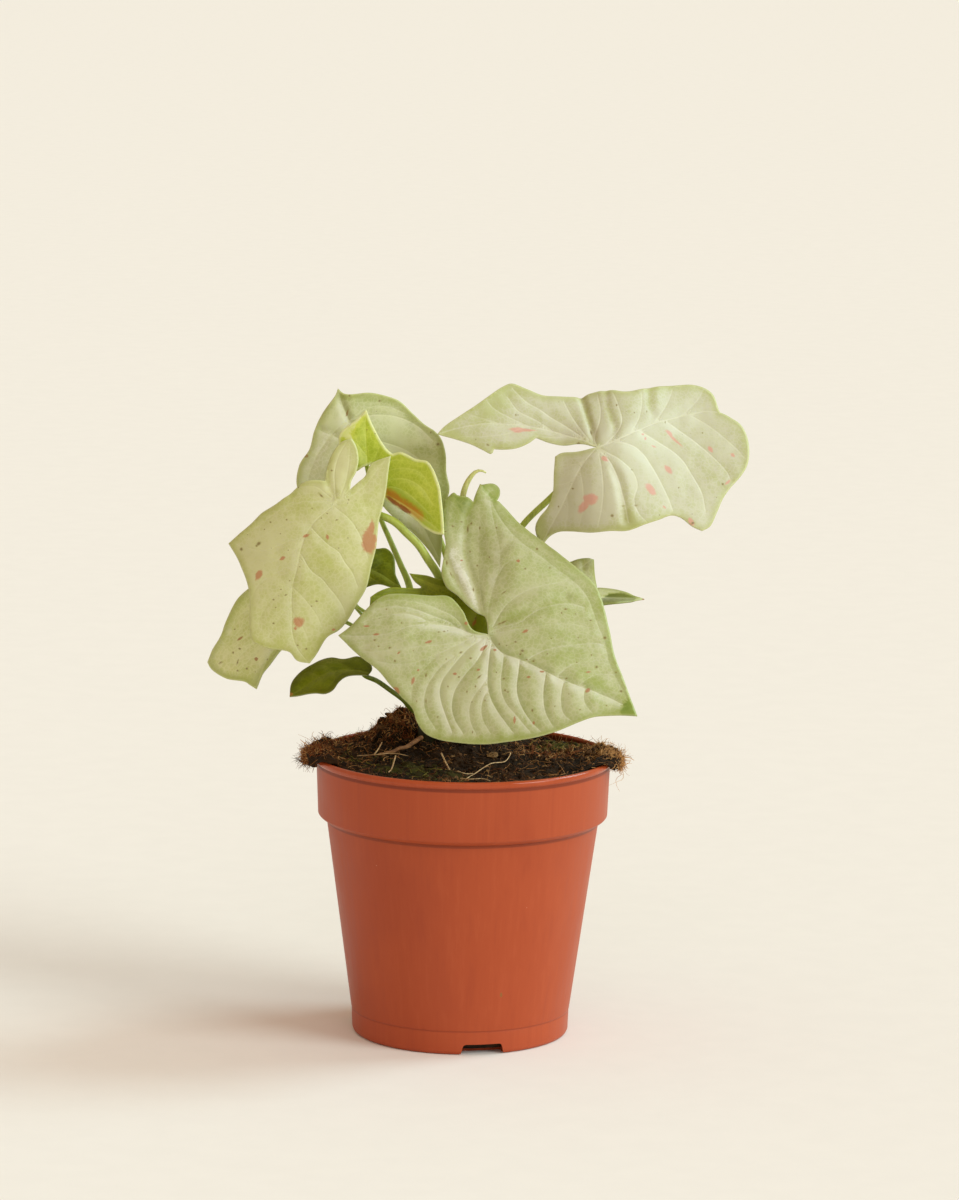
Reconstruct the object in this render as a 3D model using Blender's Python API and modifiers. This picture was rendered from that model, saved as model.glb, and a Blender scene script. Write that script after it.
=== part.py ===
"""Potted syngonium: a young arrowhead plant in a 12 cm nursery pot.

Metres, +Z up. The origin is the centre of the pot's foot, on the surface it stands on.
The front of the plant faces -Y.
"""
import math

import bmesh
import bpy
import numpy as np
from mathutils import Matrix, Vector, noise
from mathutils.geometry import delaunay_2d_cdt

MM = 0.001

# Driving sizes, in mm
POT_TOP = 113.5
RIM_RADIUS = 60.0
LIP_HEIGHT = 2.9
BAND_RADIUS = 59.0
BAND_FOOT_RADIUS = 58.1
BAND_FOOT_HEIGHT = 89.0
STEP_RADIUS = 54.5
STEP_HEIGHT = 86.6
SEAM_RADIUS = 44.0
SEAM_HEIGHT = 9.4
FOOT_RADIUS = 43.6
FOOT_ROUND = 1.5
WALL = 1.3
FLOOR = 1.6
POT_STEPS = 48
NOTCH_WIDE = 18.0
NOTCH_NARROW = 15.5
NOTCH_TALL = 4.3
NOTCH_DEPTH = 12.0
NOTCH_OUT = 42.0
NOTCH_TURN = 12.4
NOTCHES = 3
GAP = 0.3

SOIL_LEVEL = 111.3
SOIL_LUMP = 1.5
SOIL_LUMP_SIZE = 11.0
SOIL_RINGS = 15
MOUND_AT = (-26.0, 32.0)
MOUND_HEIGHT = 12.5
MOUND_SPREAD = 8.0
CROWN_AT = (0.0, 18.0)
CROWN_HEIGHT = 5.5
CROWN_SPREAD = 13.0
TUFT_TURNS = (25, 47)
TUFT_REACH = 3.6
TUFT_DROP = 4.5
TUFT_RISE = 0.9

STEM_RADIUS = 4.2
STEM_TOP = 126.0
STEM_FOOT = 86.0
STEM_SIDES = 16
STEM_HOLE_TOP = 150.0
STALK_SIDES_LEVEL = 2
STALK_STEP = 8.0

BLADE = 0.8
BLADE_STEP = 5.2
RIM_CLEAR = 0.55 * BLADE_STEP
SEAT_SLACK = 0.3
SEAT_RUN = 3.2
SEAT_TAPER = 0.9

# The eye that the outlines below were read from: in front of the plant and above it
EYE_ACROSS = 5.6
EYE_BACK = 2000.0
EYE_UP = 510.5


def seen(across, up, near):
    """Place a point that the eye sees at (across, up) in the pot's axis plane.

    It lies `near` mm in front of that plane, on the same line of sight.
    """
    t = near / EYE_BACK
    return Vector((across + (EYE_ACROSS - across) * t, -near, up + (EYE_UP - up) * t)) * MM


def thin_plate(controls):
    """Smooth depth through (across, up, near) control points."""
    points = np.array([c[:2] for c in controls], float)
    near = np.array([c[2] for c in controls], float)
    count = len(points)

    def kernel(a, b):
        squared = ((a[:, None, :] - b[None, :, :]) ** 2).sum(2) + 1e-9
        return 0.5 * squared * np.log(squared)

    flat = np.hstack([np.ones((count, 1)), points])
    system = np.zeros((count + 3, count + 3))
    system[:count, :count] = kernel(points, points) + np.eye(count) * 30.0
    system[:count, count:] = flat
    system[count:, :count] = flat.T
    weights = np.linalg.solve(system, np.concatenate([near, np.zeros(3)]))

    def depth(query):
        query = np.atleast_2d(np.array(query, float))
        flat_part = np.hstack([np.ones((len(query), 1)), query]) @ weights[count:]
        return kernel(query, points) @ weights[:count] + flat_part

    return depth


def smooth_arc(points, step):
    """Points about `step` apart on a centripetal Catmull-Rom curve through `points`."""
    pts = [np.array(p, float) for p in points]
    if len(pts) == 2:
        ends = [2 * pts[0] - pts[1], 2 * pts[1] - pts[0]]
    else:
        ends = [2 * pts[0] - pts[1], 2 * pts[-1] - pts[-2]]
    chain = [ends[0]] + pts + [ends[1]]
    fine = [pts[0]]
    for k in range(1, len(chain) - 2):
        p0, p1, p2, p3 = chain[k - 1:k + 3]
        t1 = math.sqrt(np.linalg.norm(p1 - p0))
        t2 = t1 + math.sqrt(np.linalg.norm(p2 - p1))
        t3 = t2 + math.sqrt(np.linalg.norm(p3 - p2))
        for t in np.linspace(t1, t2, 13)[1:]:
            a1 = p0 * (t1 - t) / t1 + p1 * t / t1
            a2 = p1 * (t2 - t) / (t2 - t1) + p2 * (t - t1) / (t2 - t1)
            a3 = p2 * (t3 - t) / (t3 - t2) + p3 * (t - t2) / (t3 - t2)
            b1 = a1 * (t2 - t) / t2 + a2 * t / t2
            b2 = a2 * (t3 - t) / (t3 - t1) + a3 * (t - t1) / (t3 - t1)
            fine.append(b1 * (t2 - t) / (t2 - t1) + b2 * (t - t1) / (t2 - t1))
    fine = np.array(fine)
    lengths = np.concatenate([[0], np.cumsum(np.linalg.norm(np.diff(fine, axis=0), axis=1))])
    count = max(1, round(lengths[-1] / step))
    places = np.linspace(0, lengths[-1], count + 1)
    return np.stack([np.interp(places, lengths, fine[:, k]) for k in range(fine.shape[1])], 1)


def rim_of(arcs, step):
    """Closed rim of a blade: arcs from corner to corner, the first one starting at the last's end."""
    rim = []
    start = arcs[-1][-1]
    for arc in arcs:
        rim.extend(smooth_arc([start] + arc, step)[:-1])
        start = arc[-1]
    return np.array(rim)


def inside(points, rim):
    """Which points lie inside the closed rim."""
    x, y = points[:, 0], points[:, 1]
    found = np.zeros(len(points), bool)
    for (x1, y1), (x2, y2) in zip(rim, np.roll(rim, -1, 0)):
        crosses = (y1 > y) != (y2 > y)
        slope = np.where(crosses, (x2 - x1) * (y - y1) / ((y2 - y1) or 1e-12) + x1, x)
        found ^= crosses & (x < slope)
    return found


def clear_of(points, rim, distance):
    """Which points lie further than `distance` from the rim's corners and sides."""
    best = np.full(len(points), 1e9)
    for a, b in zip(rim, np.roll(rim, -1, 0)):
        side = b - a
        share = np.clip(((points - a) @ side) / max(side @ side, 1e-12), 0, 1)
        best = np.minimum(best, np.linalg.norm(points - a - share[:, None] * side, axis=1))
    return best > distance


def material(name, colour, roughness, metallic=0.0):
    """A Principled material with one colour."""
    mat = bpy.data.materials.new(name)
    mat.use_nodes = True
    shader = mat.node_tree.nodes["Principled BSDF"]
    shader.inputs["Base Color"].default_value = (*colour, 1.0)
    shader.inputs["Roughness"].default_value = roughness
    shader.inputs["Metallic"].default_value = metallic
    return mat


def add_object(name, mesh, mat, collection):
    """Put a mesh in the scene as one named object."""
    mesh.materials.clear()
    mesh.materials.append(mat)
    made = bpy.data.objects.new(name, mesh)
    collection.objects.link(made)
    return made


def apply_modifiers(made):
    """Replace an object's mesh by what its modifiers make of it."""
    graph = bpy.context.evaluated_depsgraph_get()
    mesh = bpy.data.meshes.new_from_object(made.evaluated_get(graph))
    made.modifiers.clear()
    made.data = mesh
    return made


def boolean(made, other, operation):
    """Join or cut one object by another, applied."""
    modifier = made.modifiers.new(operation.lower(), "BOOLEAN")
    modifier.operation = operation
    modifier.solver = "EXACT"
    modifier.object = other
    apply_modifiers(made)
    bpy.data.objects.remove(other)


# The leaves. Outlines run from corner to corner, starting and ending at the knot where the stalk
# joins; each arc starts where the last one ends. Depths are (across, up, near) points.
LEAVES = {
    "leaf_front": {
        "outline": [
            [(2.9, 163.8), (-1.0, 171.2), (-6.5, 176.9), (-14.7, 177.3), (-23.3, 177.8),
             (-32.0, 177.2), (-36.7, 174.3), (-44.7, 165.4), (-50.6, 160.6)],
            [(-42.9, 153.1), (-34.2, 146.3), (-29.8, 141.0), (-25.4, 136.3), (-20.6, 131.1),
             (-18.8, 125.9), (-15.7, 121.5), (-10.5, 119.0), (-1.9, 117.6), (8.5, 117.2),
             (18.8, 118.5), (29.1, 120.4), (37.7, 123.1), (46.3, 126.8), (53.1, 129.1),
             (61.8, 129.8), (69.4, 129.4)],
            [(64.2, 143.2), (60.2, 152.8), (57.4, 165.1), (53.4, 179.1), (49.9, 184.3),
             (42.9, 190.3), (35.1, 196.4), (31.3, 199.2), (25.5, 203.4), (20.8, 207.2),
             (15.9, 212.4), (12.2, 216.2)],
            [(13.3, 218.4), (13.2, 221.2), (10.9, 223.1), (5.2, 222.6)],
            [(3.9, 219.6), (2.5, 215.6)],
            [(0.3, 217.2), (-3.8, 217.9), (-5.0, 218.9), (-8.7, 215.8)],
            [(-9.5, 210.0), (-9.2, 204.0), (-8.2, 198.0), (-9.1, 191.5), (-9.7, 186.0),
             (-7.6, 180.8), (-3.2, 177.6), (0.8, 173.6), (4.6, 170.8), (7.9, 169.0),
             (9.2, 162.0)],
        ],
        "depth": [
            (9.2, 162.0, 38.0), (-50.0, 161.5, 33.0), (-25.0, 160.0, 40.0), (-23.0, 177.0, 29.0),
            (-20.0, 131.0, 50.0), (8.5, 117.2, 62.0), (8.0, 140.0, 52.0), (69.4, 129.4, 61.0),
            (45.0, 140.0, 56.0), (60.0, 155.0, 42.0), (50.0, 184.0, 23.0), (30.0, 170.0, 36.0),
            (31.0, 199.0, 11.0), (20.0, 190.0, 23.0), (2.7, 200.0, 8.0), (-9.0, 205.0, 7.0),
            (-9.6, 186.0, 18.0), (12.0, 216.0, 4.0), (5.4, 222.7, 1.0), (-5.0, 218.0, 2.0),
            (13.5, 221.0, -4.0),
        ],
        "colour": (0.52, 0.58, 0.30),
    },
    "leaf_left": {
        "outline": [
            [(-43.4, 222.5), (-40.6, 225.0), (-39.4, 228.0), (-38.0, 230.4)],
            [(-35.0, 231.8), (-30.4, 233.4)],
            [(-31.3, 227.0), (-32.1, 219.5), (-33.4, 213.0), (-34.9, 207.0), (-35.4, 201.8),
             (-36.0, 196.0), (-37.8, 188.3),
             (-39.6, 180.2), (-43.0, 174.0), (-47.1, 166.6), (-50.5, 162.7), (-55.0, 159.9),
             (-59.5, 152.5), (-62.0, 149.2)],
            [(-67.1, 150.2), (-70.1, 153.6), (-79.2, 155.2), (-84.6, 157.8), (-86.0, 163.5),
             (-86.3, 178.2), (-90.3, 189.7), (-94.6, 197.2)],
            [(-86.6, 204.4), (-81.4, 209.8), (-75.4, 213.7), (-67.9, 219.9), (-64.9, 222.3),
             (-60.3, 223.2), (-56.6, 223.0)],
            [(-55.5, 229.5), (-53.0, 235.2), (-49.8, 238.8), (-46.0, 240.2)],
            [(-44.2, 237.0), (-43.2, 232.0), (-44.0, 227.0), (-46.0, 223.0), (-46.5, 219.7)],
        ],
        "depth": [
            (-51.5, 214.3, 13.0), (-30.5, 233.7, 6.0), (-36.0, 210.0, 12.0), (-36.5, 194.0, 17.0),
            (-47.0, 167.0, 19.0), (-62.0, 149.2, 27.0), (-66.0, 185.0, 20.0),
            (-86.0, 160.0, 20.0), (-86.3, 178.0, 15.0), (-94.6, 197.2, 4.0), (-75.0, 213.0, 8.0),
            (-60.3, 223.2, 9.0), (-52.0, 232.0, 6.0), (-50.8, 240.3, 3.0), (-45.0, 188.0, 20.0),
            (-80.0, 195.0, 13.0), (-44.3, 228.2, 7.0),
        ],
        "colour": (0.56, 0.57, 0.27),
    },
    "leaf_young": {
        "outline": [
            [(-38.6, 220.0), (-38.0, 225.0), (-37.8, 230.0)],
            [(-41.4, 228.8), (-44.2, 227.0), (-47.4, 228.0)],
            [(-50.0, 234.0), (-51.1, 240.0), (-50.3, 242.4), (-48.6, 244.4), (-45.2, 246.9),
             (-42.6, 249.4), (-40.4, 251.8)],
            [(-38.5, 247.2), (-35.9, 242.0), (-34.1, 238.8), (-32.0, 236.0), (-29.8, 234.2)],
            [(-26.6, 235.0), (-24.0, 234.0), (-20.4, 232.2), (-16.0, 231.4), (-14.0, 229.0),
             (-12.2, 225.0),
             (-10.4, 219.3), (-9.4, 212.0), (-9.0, 202.0)],
            [(-12.0, 202.2), (-16.5, 204.5), (-21.9, 209.2), (-27.0, 212.4), (-32.3, 215.5),
             (-36.0, 217.6)],
        ],
        "depth": [
            (-38.5, 220.0, -4.0), (-50.0, 236.0, -4.0), (-40.4, 251.8, -7.0),
            (-44.0, 240.0, -2.0), (-33.0, 232.0, -3.0), (-24.0, 234.0, 0.0),
            (-22.0, 222.0, 2.0), (-11.0, 222.0, 8.0), (-9.0, 202.0, 14.0), (-22.0, 209.5, 3.0),
        ],
        "colour": (0.40, 0.52, 0.05),
    },
    "leaf_upper_left": {
        "outline": [
            [(-49.6, 258.2), (-47.5, 257.6), (-39.2, 258.4), (-32.9, 257.3), (-27.2, 255.2),
             (-21.5, 250.1), (-17.2, 246.2), (-12.9, 243.4), (-10.5, 240.6), (-8.6, 234.4),
             (-8.2, 227.0), (-6.9, 220.4), (-8.4, 213.6), (-9.4, 204.0), (-9.8, 196.0),
             (-10.3, 188.6)],
            [(-14.5, 195.0), (-19.0, 200.2), (-24.4, 205.2), (-30.0, 209.6), (-34.6, 215.0),
             (-37.4, 222.0), (-37.6, 229.4)],
            [(-42.0, 230.4), (-48.2, 227.4), (-50.6, 219.0), (-53.0, 211.6), (-57.0, 208.0)],
            [(-64.0, 213.0), (-67.6, 220.6), (-66.7, 229.0), (-62.8, 235.5), (-61.0, 242.6),
             (-57.5, 250.0), (-53.0, 256.8), (-51.6, 260.0)],
        ],
        "depth": [
            (-47.8, 247.3, -20.0), (-51.6, 260.0, -27.0), (-26.0, 255.0, -25.0),
            (-9.0, 236.0, -15.0), (-8.0, 217.0, -11.0), (-10.3, 188.6, -6.0),
            (-30.0, 235.0, -17.0), (-29.5, 208.6, -10.0), (-46.0, 209.0, -9.0),
            (-57.0, 208.0, -8.0), (-67.6, 220.6, -14.0), (-61.0, 242.0, -22.0),
            (-45.0, 230.0, -14.0),
        ],
        "colour": (0.46, 0.47, 0.20),
    },
    "leaf_right": {
        "outline": [
            [(45.3, 239.3), (38.0, 238.6), (32.8, 239.3), (27.2, 241.3)],
            [(24.2, 239.1), (19.9, 237.2), (14.8, 236.5), (10.5, 236.6)],
            [(9.6, 234.7), (6.2, 236.1), (1.8, 238.3), (-3.3, 240.0), (-12.1, 242.3)],
            [(-9.4, 245.4), (-3.5, 249.6), (2.5, 253.6), (8.5, 258.0), (13.6, 261.6),
             (17.0, 262.9), (23.9, 260.4), (29.1, 258.5), (36.0, 258.0), (44.6, 257.9),
             (48.9, 259.4), (55.8, 260.9), (62.6, 260.3), (70.4, 261.7), (79.8, 262.8),
             (91.0, 262.9), (96.5, 260.0), (99.9, 252.4)],
            [(104.0, 250.5), (108.4, 247.5), (111.0, 242.8), (111.9, 237.5), (111.2, 231.4),
             (108.7, 227.0), (105.3, 223.0), (101.9, 218.1), (99.4, 212.0), (96.9, 206.7),
             (93.9, 204.9)],
            [(90.0, 206.6), (85.6, 210.0), (81.7, 211.0), (76.2, 209.0), (71.0, 207.2),
             (64.2, 204.6), (57.3, 204.4), (49.6, 203.6), (41.8, 204.0), (36.7, 203.7),
             (33.2, 201.9), (30.7, 198.8)],
            [(28.1, 201.8), (27.5, 205.8), (28.9, 209.3), (32.3, 213.7), (34.1, 219.0),
             (34.5, 226.8), (34.9, 233.8)],
            [(37.4, 235.4), (43.2, 236.0), (51.5, 238.0)],
        ],
        "depth": [
            (51.5, 238.0, 0.0), (-12.1, 242.3, 4.0), (17.0, 262.9, -16.0), (15.0, 237.0, 1.0),
            (36.0, 258.0, -18.0), (46.0, 258.0, -22.0), (56.0, 261.0, -22.0),
            (80.0, 262.8, -34.0), (97.0, 259.0, -38.0), (111.9, 237.5, -24.0),
            (94.0, 205.0, 0.0), (76.0, 209.0, 6.0), (57.0, 204.4, 12.0), (31.0, 199.0, 3.0),
            (28.0, 206.0, 0.0), (34.8, 233.0, -2.0), (50.0, 222.0, 8.0), (78.0, 232.0, -8.0),
            (62.0, 243.0, -6.0), (85.0, 250.5, -26.0),
        ],
        "colour": (0.68, 0.70, 0.46),
    },
    "leaf_low_left": {
        "outline": [
            [(-61.0, 166.5), (-57.5, 163.0)],
            [(-65.0, 159.5), (-72.9, 154.6), (-78.2, 148.0), (-80.9, 144.4), (-83.3, 138.4)],
            [(-85.7, 139.9), (-87.8, 141.3), (-95.3, 142.5), (-101.2, 146.2), (-102.8, 149.0)],
            [(-100.7, 154.3), (-97.8, 159.3), (-96.0, 164.7), (-93.3, 170.7), (-90.1, 175.6),
             (-86.0, 179.4), (-77.0, 184.0), (-67.0, 186.0)],
            [(-66.5, 180.0), (-64.0, 172.0)],
        ],
        "depth": [
            (-64.0, 172.0, -6.0), (-57.5, 163.0, -3.0), (-83.3, 138.4, 2.0),
            (-102.8, 149.0, -14.0), (-93.3, 170.7, -20.0), (-67.0, 186.0, -16.0),
            (-82.0, 158.0, -7.0),
        ],
        "colour": (0.46, 0.49, 0.19),
    },
    "leaf_small": {
        "outline": [
            [(-36.9, 147.2), (-38.1, 149.9)],
            [(-42.9, 152.2), (-48.3, 151.2), (-53.1, 151.6), (-57.4, 150.4), (-62.7, 147.3),
             (-67.0, 144.0), (-69.4, 140.2), (-69.9, 135.5)],
            [(-67.0, 135.9), (-60.0, 137.3), (-55.7, 137.0), (-52.5, 138.5), (-50.4, 141.5),
             (-48.2, 143.4), (-45.0, 144.5), (-38.6, 144.6)],
        ],
        "depth": [
            (-38.6, 145.0, 15.0), (-38.1, 149.9, 8.0), (-53.1, 151.6, 6.0),
            (-67.0, 144.0, 12.0), (-69.9, 135.5, 22.0), (-55.7, 137.0, 24.0),
            (-55.0, 145.0, 17.0),
        ],
        "colour": (0.07, 0.12, 0.01),
    },
    "leaf_mid": {
        "outline": [
            [(-46.0, 193.0), (-49.0, 195.5)],
            [(-43.0, 196.5), (-36.0, 195.9), (-31.9, 196.0), (-28.8, 192.8), (-28.2, 188.9),
             (-28.0, 185.7), (-26.6, 182.6), (-25.6, 180.2)],
            [(-29.8, 180.4), (-34.9, 181.6), (-39.4, 180.3), (-47.0, 176.5), (-57.0, 172.0)],
            [(-58.5, 179.0), (-56.0, 187.0), (-52.0, 192.5)],
            [(-49.0, 190.6), (-46.0, 189.0)],
        ],
        "depth": [
            (-46.0, 189.0, -18.0), (-49.0, 195.5, -24.0), (-32.0, 196.0, -26.0),
            (-25.6, 180.2, -15.0), (-39.0, 180.3, -15.0), (-57.0, 172.0, -22.0),
            (-55.0, 190.0, -30.0),
        ],
        "colour": (0.12, 0.17, 0.02),
    },
    "leaf_tucked": {
        "outline": [
            [(0.0, 183.0), (-2.0, 187.0)],
            [(-6.0, 185.2), (-10.0, 183.9), (-15.8, 185.4), (-22.4, 186.2)],
            [(-20.3, 183.0), (-17.6, 180.6), (-24.4, 180.3), (-30.0, 180.3), (-35.0, 178.5),
             (-38.0, 176.4)],
            [(-38.0, 168.0), (-33.0, 158.0), (-20.0, 147.0)],
            [(-8.0, 151.0), (2.0, 156.5), (10.0, 160.5), (14.5, 168.0), (14.0, 177.0),
             (10.0, 184.0)],
            [(6.0, 182.0), (3.0, 178.0)],
        ],
        "depth": [
            (3.0, 178.0, 11.0), (-2.0, 187.0, 6.0), (-10.0, 183.6, 11.0), (-22.4, 186.2, 12.0),
            (-38.0, 176.4, 21.0), (-20.0, 147.0, 24.0), (-35.0, 160.0, 24.0),
            (-18.0, 168.0, 18.0), (-2.0, 156.0, 13.0), (14.5, 168.0, 9.0), (10.0, 184.0, 4.0),
        ],
        "colour": (0.08, 0.13, 0.01),
    },
    "leaf_behind": {
        "outline": [
            [(31.0, 186.5), (33.0, 190.0)],
            [(40.5, 191.3), (45.2, 192.9), (48.7, 193.3), (50.9, 192.8)],
            [(51.1, 189.3), (51.6, 185.0), (52.3, 181.2)],
            [(55.9, 181.1), (60.0, 180.6), (64.0, 179.8), (67.6, 178.2), (71.4, 177.0)],
            [(66.4, 176.2), (60.6, 175.5), (55.0, 174.6), (45.0, 171.5), (34.0, 165.0)],
            [(33.0, 170.0), (33.5, 175.5), (34.0, 181.0)],
        ],
        "depth": [
            (34.0, 181.0, -18.0), (33.0, 190.0, -24.0), (50.9, 192.8, -23.0),
            (52.3, 181.0, -22.0), (60.0, 180.6, -25.0), (71.4, 177.0, -20.0),
            (60.6, 175.5, -9.0), (45.0, 171.5, -7.0), (34.0, 165.0, -8.0), (46.0, 182.0, -17.0),
        ],
        "colour": (0.42, 0.44, 0.18),
    },
    "leaf_back_right": {
        "outline": [
            [(26.0, 176.0), (31.0, 183.0), (40.0, 186.0)],
            [(46.0, 181.0), (49.0, 172.0), (49.0, 160.0), (46.0, 148.0), (40.0, 136.0),
             (36.0, 128.0)],
            [(27.0, 133.0), (16.0, 143.0), (9.0, 155.0), (5.0, 168.0), (7.0, 180.0)],
            [(15.0, 181.0), (21.0, 176.0), (24.0, 171.0)],
        ],
        "depth": [
            (24.0, 171.0, -40.0), (40.0, 186.0, -38.0), (49.0, 162.0, -54.0),
            (36.0, 128.0, -84.0), (24.0, 150.0, -64.0), (6.0, 168.0, -48.0), (7.0, 180.0, -40.0),
        ],
        "colour": (0.50, 0.54, 0.26),
    },
    "leaf_back_left": {
        "outline": [
            [(-33.0, 240.0), (-28.0, 246.0), (-20.0, 247.5)],
            [(-16.0, 240.0), (-15.5, 230.0), (-19.0, 220.0), (-26.0, 211.5)],
            [(-31.6, 216.0), (-35.8, 223.0), (-38.2, 230.0), (-45.0, 232.0), (-52.0, 234.6),
             (-55.6, 240.6), (-52.0, 248.0)],
            [(-44.0, 247.0), (-38.5, 242.0), (-35.5, 236.5)],
        ],
        "depth": [
            (-35.5, 236.5, -48.0), (-20.0, 247.5, -48.0), (-15.5, 230.0, -58.0),
            (-26.0, 211.5, -84.0), (-38.0, 224.0, -68.0), (-55.0, 235.0, -56.0),
            (-52.0, 248.0, -46.0),
        ],
        "colour": (0.48, 0.51, 0.24),
    },
}

# The stalks: (across, up, near, radius) from the stem to the leaf, and the side of the blade
# that the stalk ends at: -1 behind it, 1 in front of it
STEMS = {
    "stem_front": {
        "at": (2.0, 13.0),
        "colour": (0.16, 0.30, 0.03),
        "stalks": [
            {"leaf": "leaf_front", "side": -1, "knot": (8.4, 160.6),
             "path": [(2.0, 121.0, -13.0, 2.8), (2.5, 130.0, -10.0, 2.3), (4.5, 143.0, 2.0, 1.9),
                      (7.0, 153.0, 17.0, 1.6)]},
            {"leaf": "leaf_small", "side": -1, "knot": (-40.2, 146.2),
             "path": [(0.0, 121.0, -13.0, 1.8), (-8.0, 125.0, -8.0, 1.4),
                      (-20.3, 130.7, 1.0, 1.1), (-24.7, 135.1, 4.0, 1.0),
                      (-29.5, 138.6, 6.0, 1.0), (-34.8, 142.3, 7.0, 1.0)]},
            {"leaf": "leaf_tucked", "side": -1, "knot": (2.4, 176.6),
             "path": [(1.0, 121.0, -12.0, 2.0), (-0.5, 132.0, -9.0, 1.5),
                      (0.0, 150.0, -2.0, 1.2), (1.0, 166.0, 3.0, 1.1)]},
            {"leaf": None,
             "path": [(2.0, 121.0, -13.0, 2.2), (-1.0, 137.0, -11.0, 1.7),
                      (-4.0, 165.0, -8.0, 1.4), (-3.8, 195.0, -6.0, 1.3),
                      (-1.9, 215.0, -5.0, 1.25), (-1.1, 219.8, -5.0, 1.2),
                      (0.2, 223.3, -5.0, 1.1), (1.9, 226.0, -5.0, 0.9),
                      (3.6, 227.6, -5.0, 0.7), (5.6, 228.0, -5.0, 0.5),
                      (7.5, 227.1, -5.0, 0.3)]},
        ],
    },
    "stem_left": {
        "at": (-15.0, 20.0),
        "colour": (0.14, 0.26, 0.02),
        "stalks": [
            {"leaf": "leaf_left", "side": -1, "knot": (-51.6, 213.4),
             "path": [(-14.5, 123.0, -20.0, 2.8), (-13.2, 132.0, -15.0, 2.3),
                      (-9.5, 150.0, -6.0, 2.0), (-8.4, 170.0, 1.0, 1.8),
                      (-10.2, 183.7, 4.5, 1.7), (-15.4, 192.3, 5.0, 1.65),
                      (-19.1, 197.8, 5.0, 1.6), (-24.2, 202.8, 5.0, 1.6),
                      (-28.4, 206.7, 4.5, 1.55), (-33.4, 209.1, 4.0, 1.5),
                      (-42.0, 211.5, 3.0, 1.4)]},
            {"leaf": "leaf_upper_left", "side": -1, "knot": (-46.4, 246.2),
             "path": [(-15.5, 124.0, -21.0, 2.4), (-18.2, 150.0, -15.0, 1.7),
                      (-22.5, 181.1, -12.0, 1.4), (-26.3, 190.2, -13.0, 1.2),
                      (-30.5, 199.8, -15.0, 1.1), (-34.4, 208.7, -17.0, 1.0),
                      (-38.2, 222.0, -21.0, 1.0), (-41.5, 235.0, -24.0, 0.9)]},
            {"leaf": "leaf_young", "side": -1, "knot": (-36.6, 220.0),
             "path": [(-15.0, 124.0, -20.0, 2.0), (-19.0, 134.0, -15.0, 1.4),
                      (-28.0, 155.0, -7.0, 0.9), (-39.3, 169.7, -2.0, 0.7),
                      (-43.3, 172.6, -3.0, 0.7), (-49.0, 181.0, -4.0, 0.7),
                      (-48.0, 194.0, -6.5, 0.7), (-41.5, 208.0, -7.0, 0.7)]},
            {"leaf": "leaf_low_left", "side": -1, "knot": (-64.8, 171.0),
             "path": [(-15.5, 124.5, -20.0, 1.8), (-20.5, 135.0, -18.0, 1.3),
                      (-33.0, 154.5, -12.0, 1.0), (-45.0, 164.7, -9.0, 0.8),
                      (-48.0, 166.2, -9.5, 0.8), (-56.0, 168.5, -12.0, 0.8)]},
            {"leaf": "leaf_mid", "side": -1, "knot": (-47.0, 188.4),
             "path": [(-15.5, 125.0, -21.0, 1.8), (-24.0, 141.0, -21.0, 1.2),
                      (-33.0, 158.0, -20.0, 0.8), (-40.8, 168.6, -21.0, 0.7),
                      (-45.0, 174.0, -23.0, 0.7), (-47.0, 181.0, -25.0, 0.7)]},
        ],
    },
    "stem_right": {
        "at": (14.0, 19.0),
        "colour": (0.15, 0.28, 0.03),
        "stalks": [
            {"leaf": "leaf_right", "side": -1, "knot": (50.6, 237.0),
             "path": [(14.0, 121.0, -19.0, 2.8), (12.5, 142.0, -14.0, 2.0),
                      (14.0, 172.0, -10.0, 1.6), (18.0, 196.0, -8.0, 1.4),
                      (22.0, 205.6, -8.0, 1.3), (34.2, 218.3, -9.0, 1.3),
                      (44.0, 229.0, -9.0, 1.2)]},
            {"leaf": "leaf_behind", "side": -1, "knot": (35.2, 180.4),
             "path": [(14.0, 121.0, -20.0, 2.2), (19.0, 146.0, -21.0, 1.5),
                      (28.0, 170.0, -24.0, 1.1)]},
            {"leaf": "leaf_back_right", "side": 1, "knot": (24.6, 169.6),
             "path": [(15.0, 121.0, -21.0, 2.2), (17.0, 140.0, -26.0, 1.5),
                      (20.0, 158.0, -31.0, 1.2)]},
            {"leaf": "leaf_back_left", "side": 1, "knot": (-34.6, 234.6),
             "path": [(13.0, 121.0, -21.0, 2.2), (6.0, 142.0, -22.0, 1.5),
                      (-2.0, 165.0, -24.0, 1.3), (-6.0, 186.0, -27.0, 1.2),
                      (-13.0, 206.0, -32.0, 1.1), (-26.0, 225.0, -38.0, 1.0)]},
        ],
    },
}

# Where the dry stalk lies on the soil, as (x, y) in mm
DEAD_STALK = [(-35.0, 1.0), (-29.0, 3.5), (-23.0, 8.0), (-18.5, 12.5)]
DEAD_STALK_RADIUS = 0.9
DEAD_STALK_STEP = 2.5


def leaf_point(leaf, across, up):
    """Middle of the blade's thickness at a seen place, in metres."""
    return seen(across, up, float(leaf["at"]((across, up))[0]))


def leaf_normal(leaf, across, up):
    """Unit normal of the blade at a seen place, towards the eye."""
    side = leaf_point(leaf, across + 1, up) - leaf_point(leaf, across - 1, up)
    rise = leaf_point(leaf, across, up + 1) - leaf_point(leaf, across, up - 1)
    return side.cross(rise).normalized()


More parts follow.
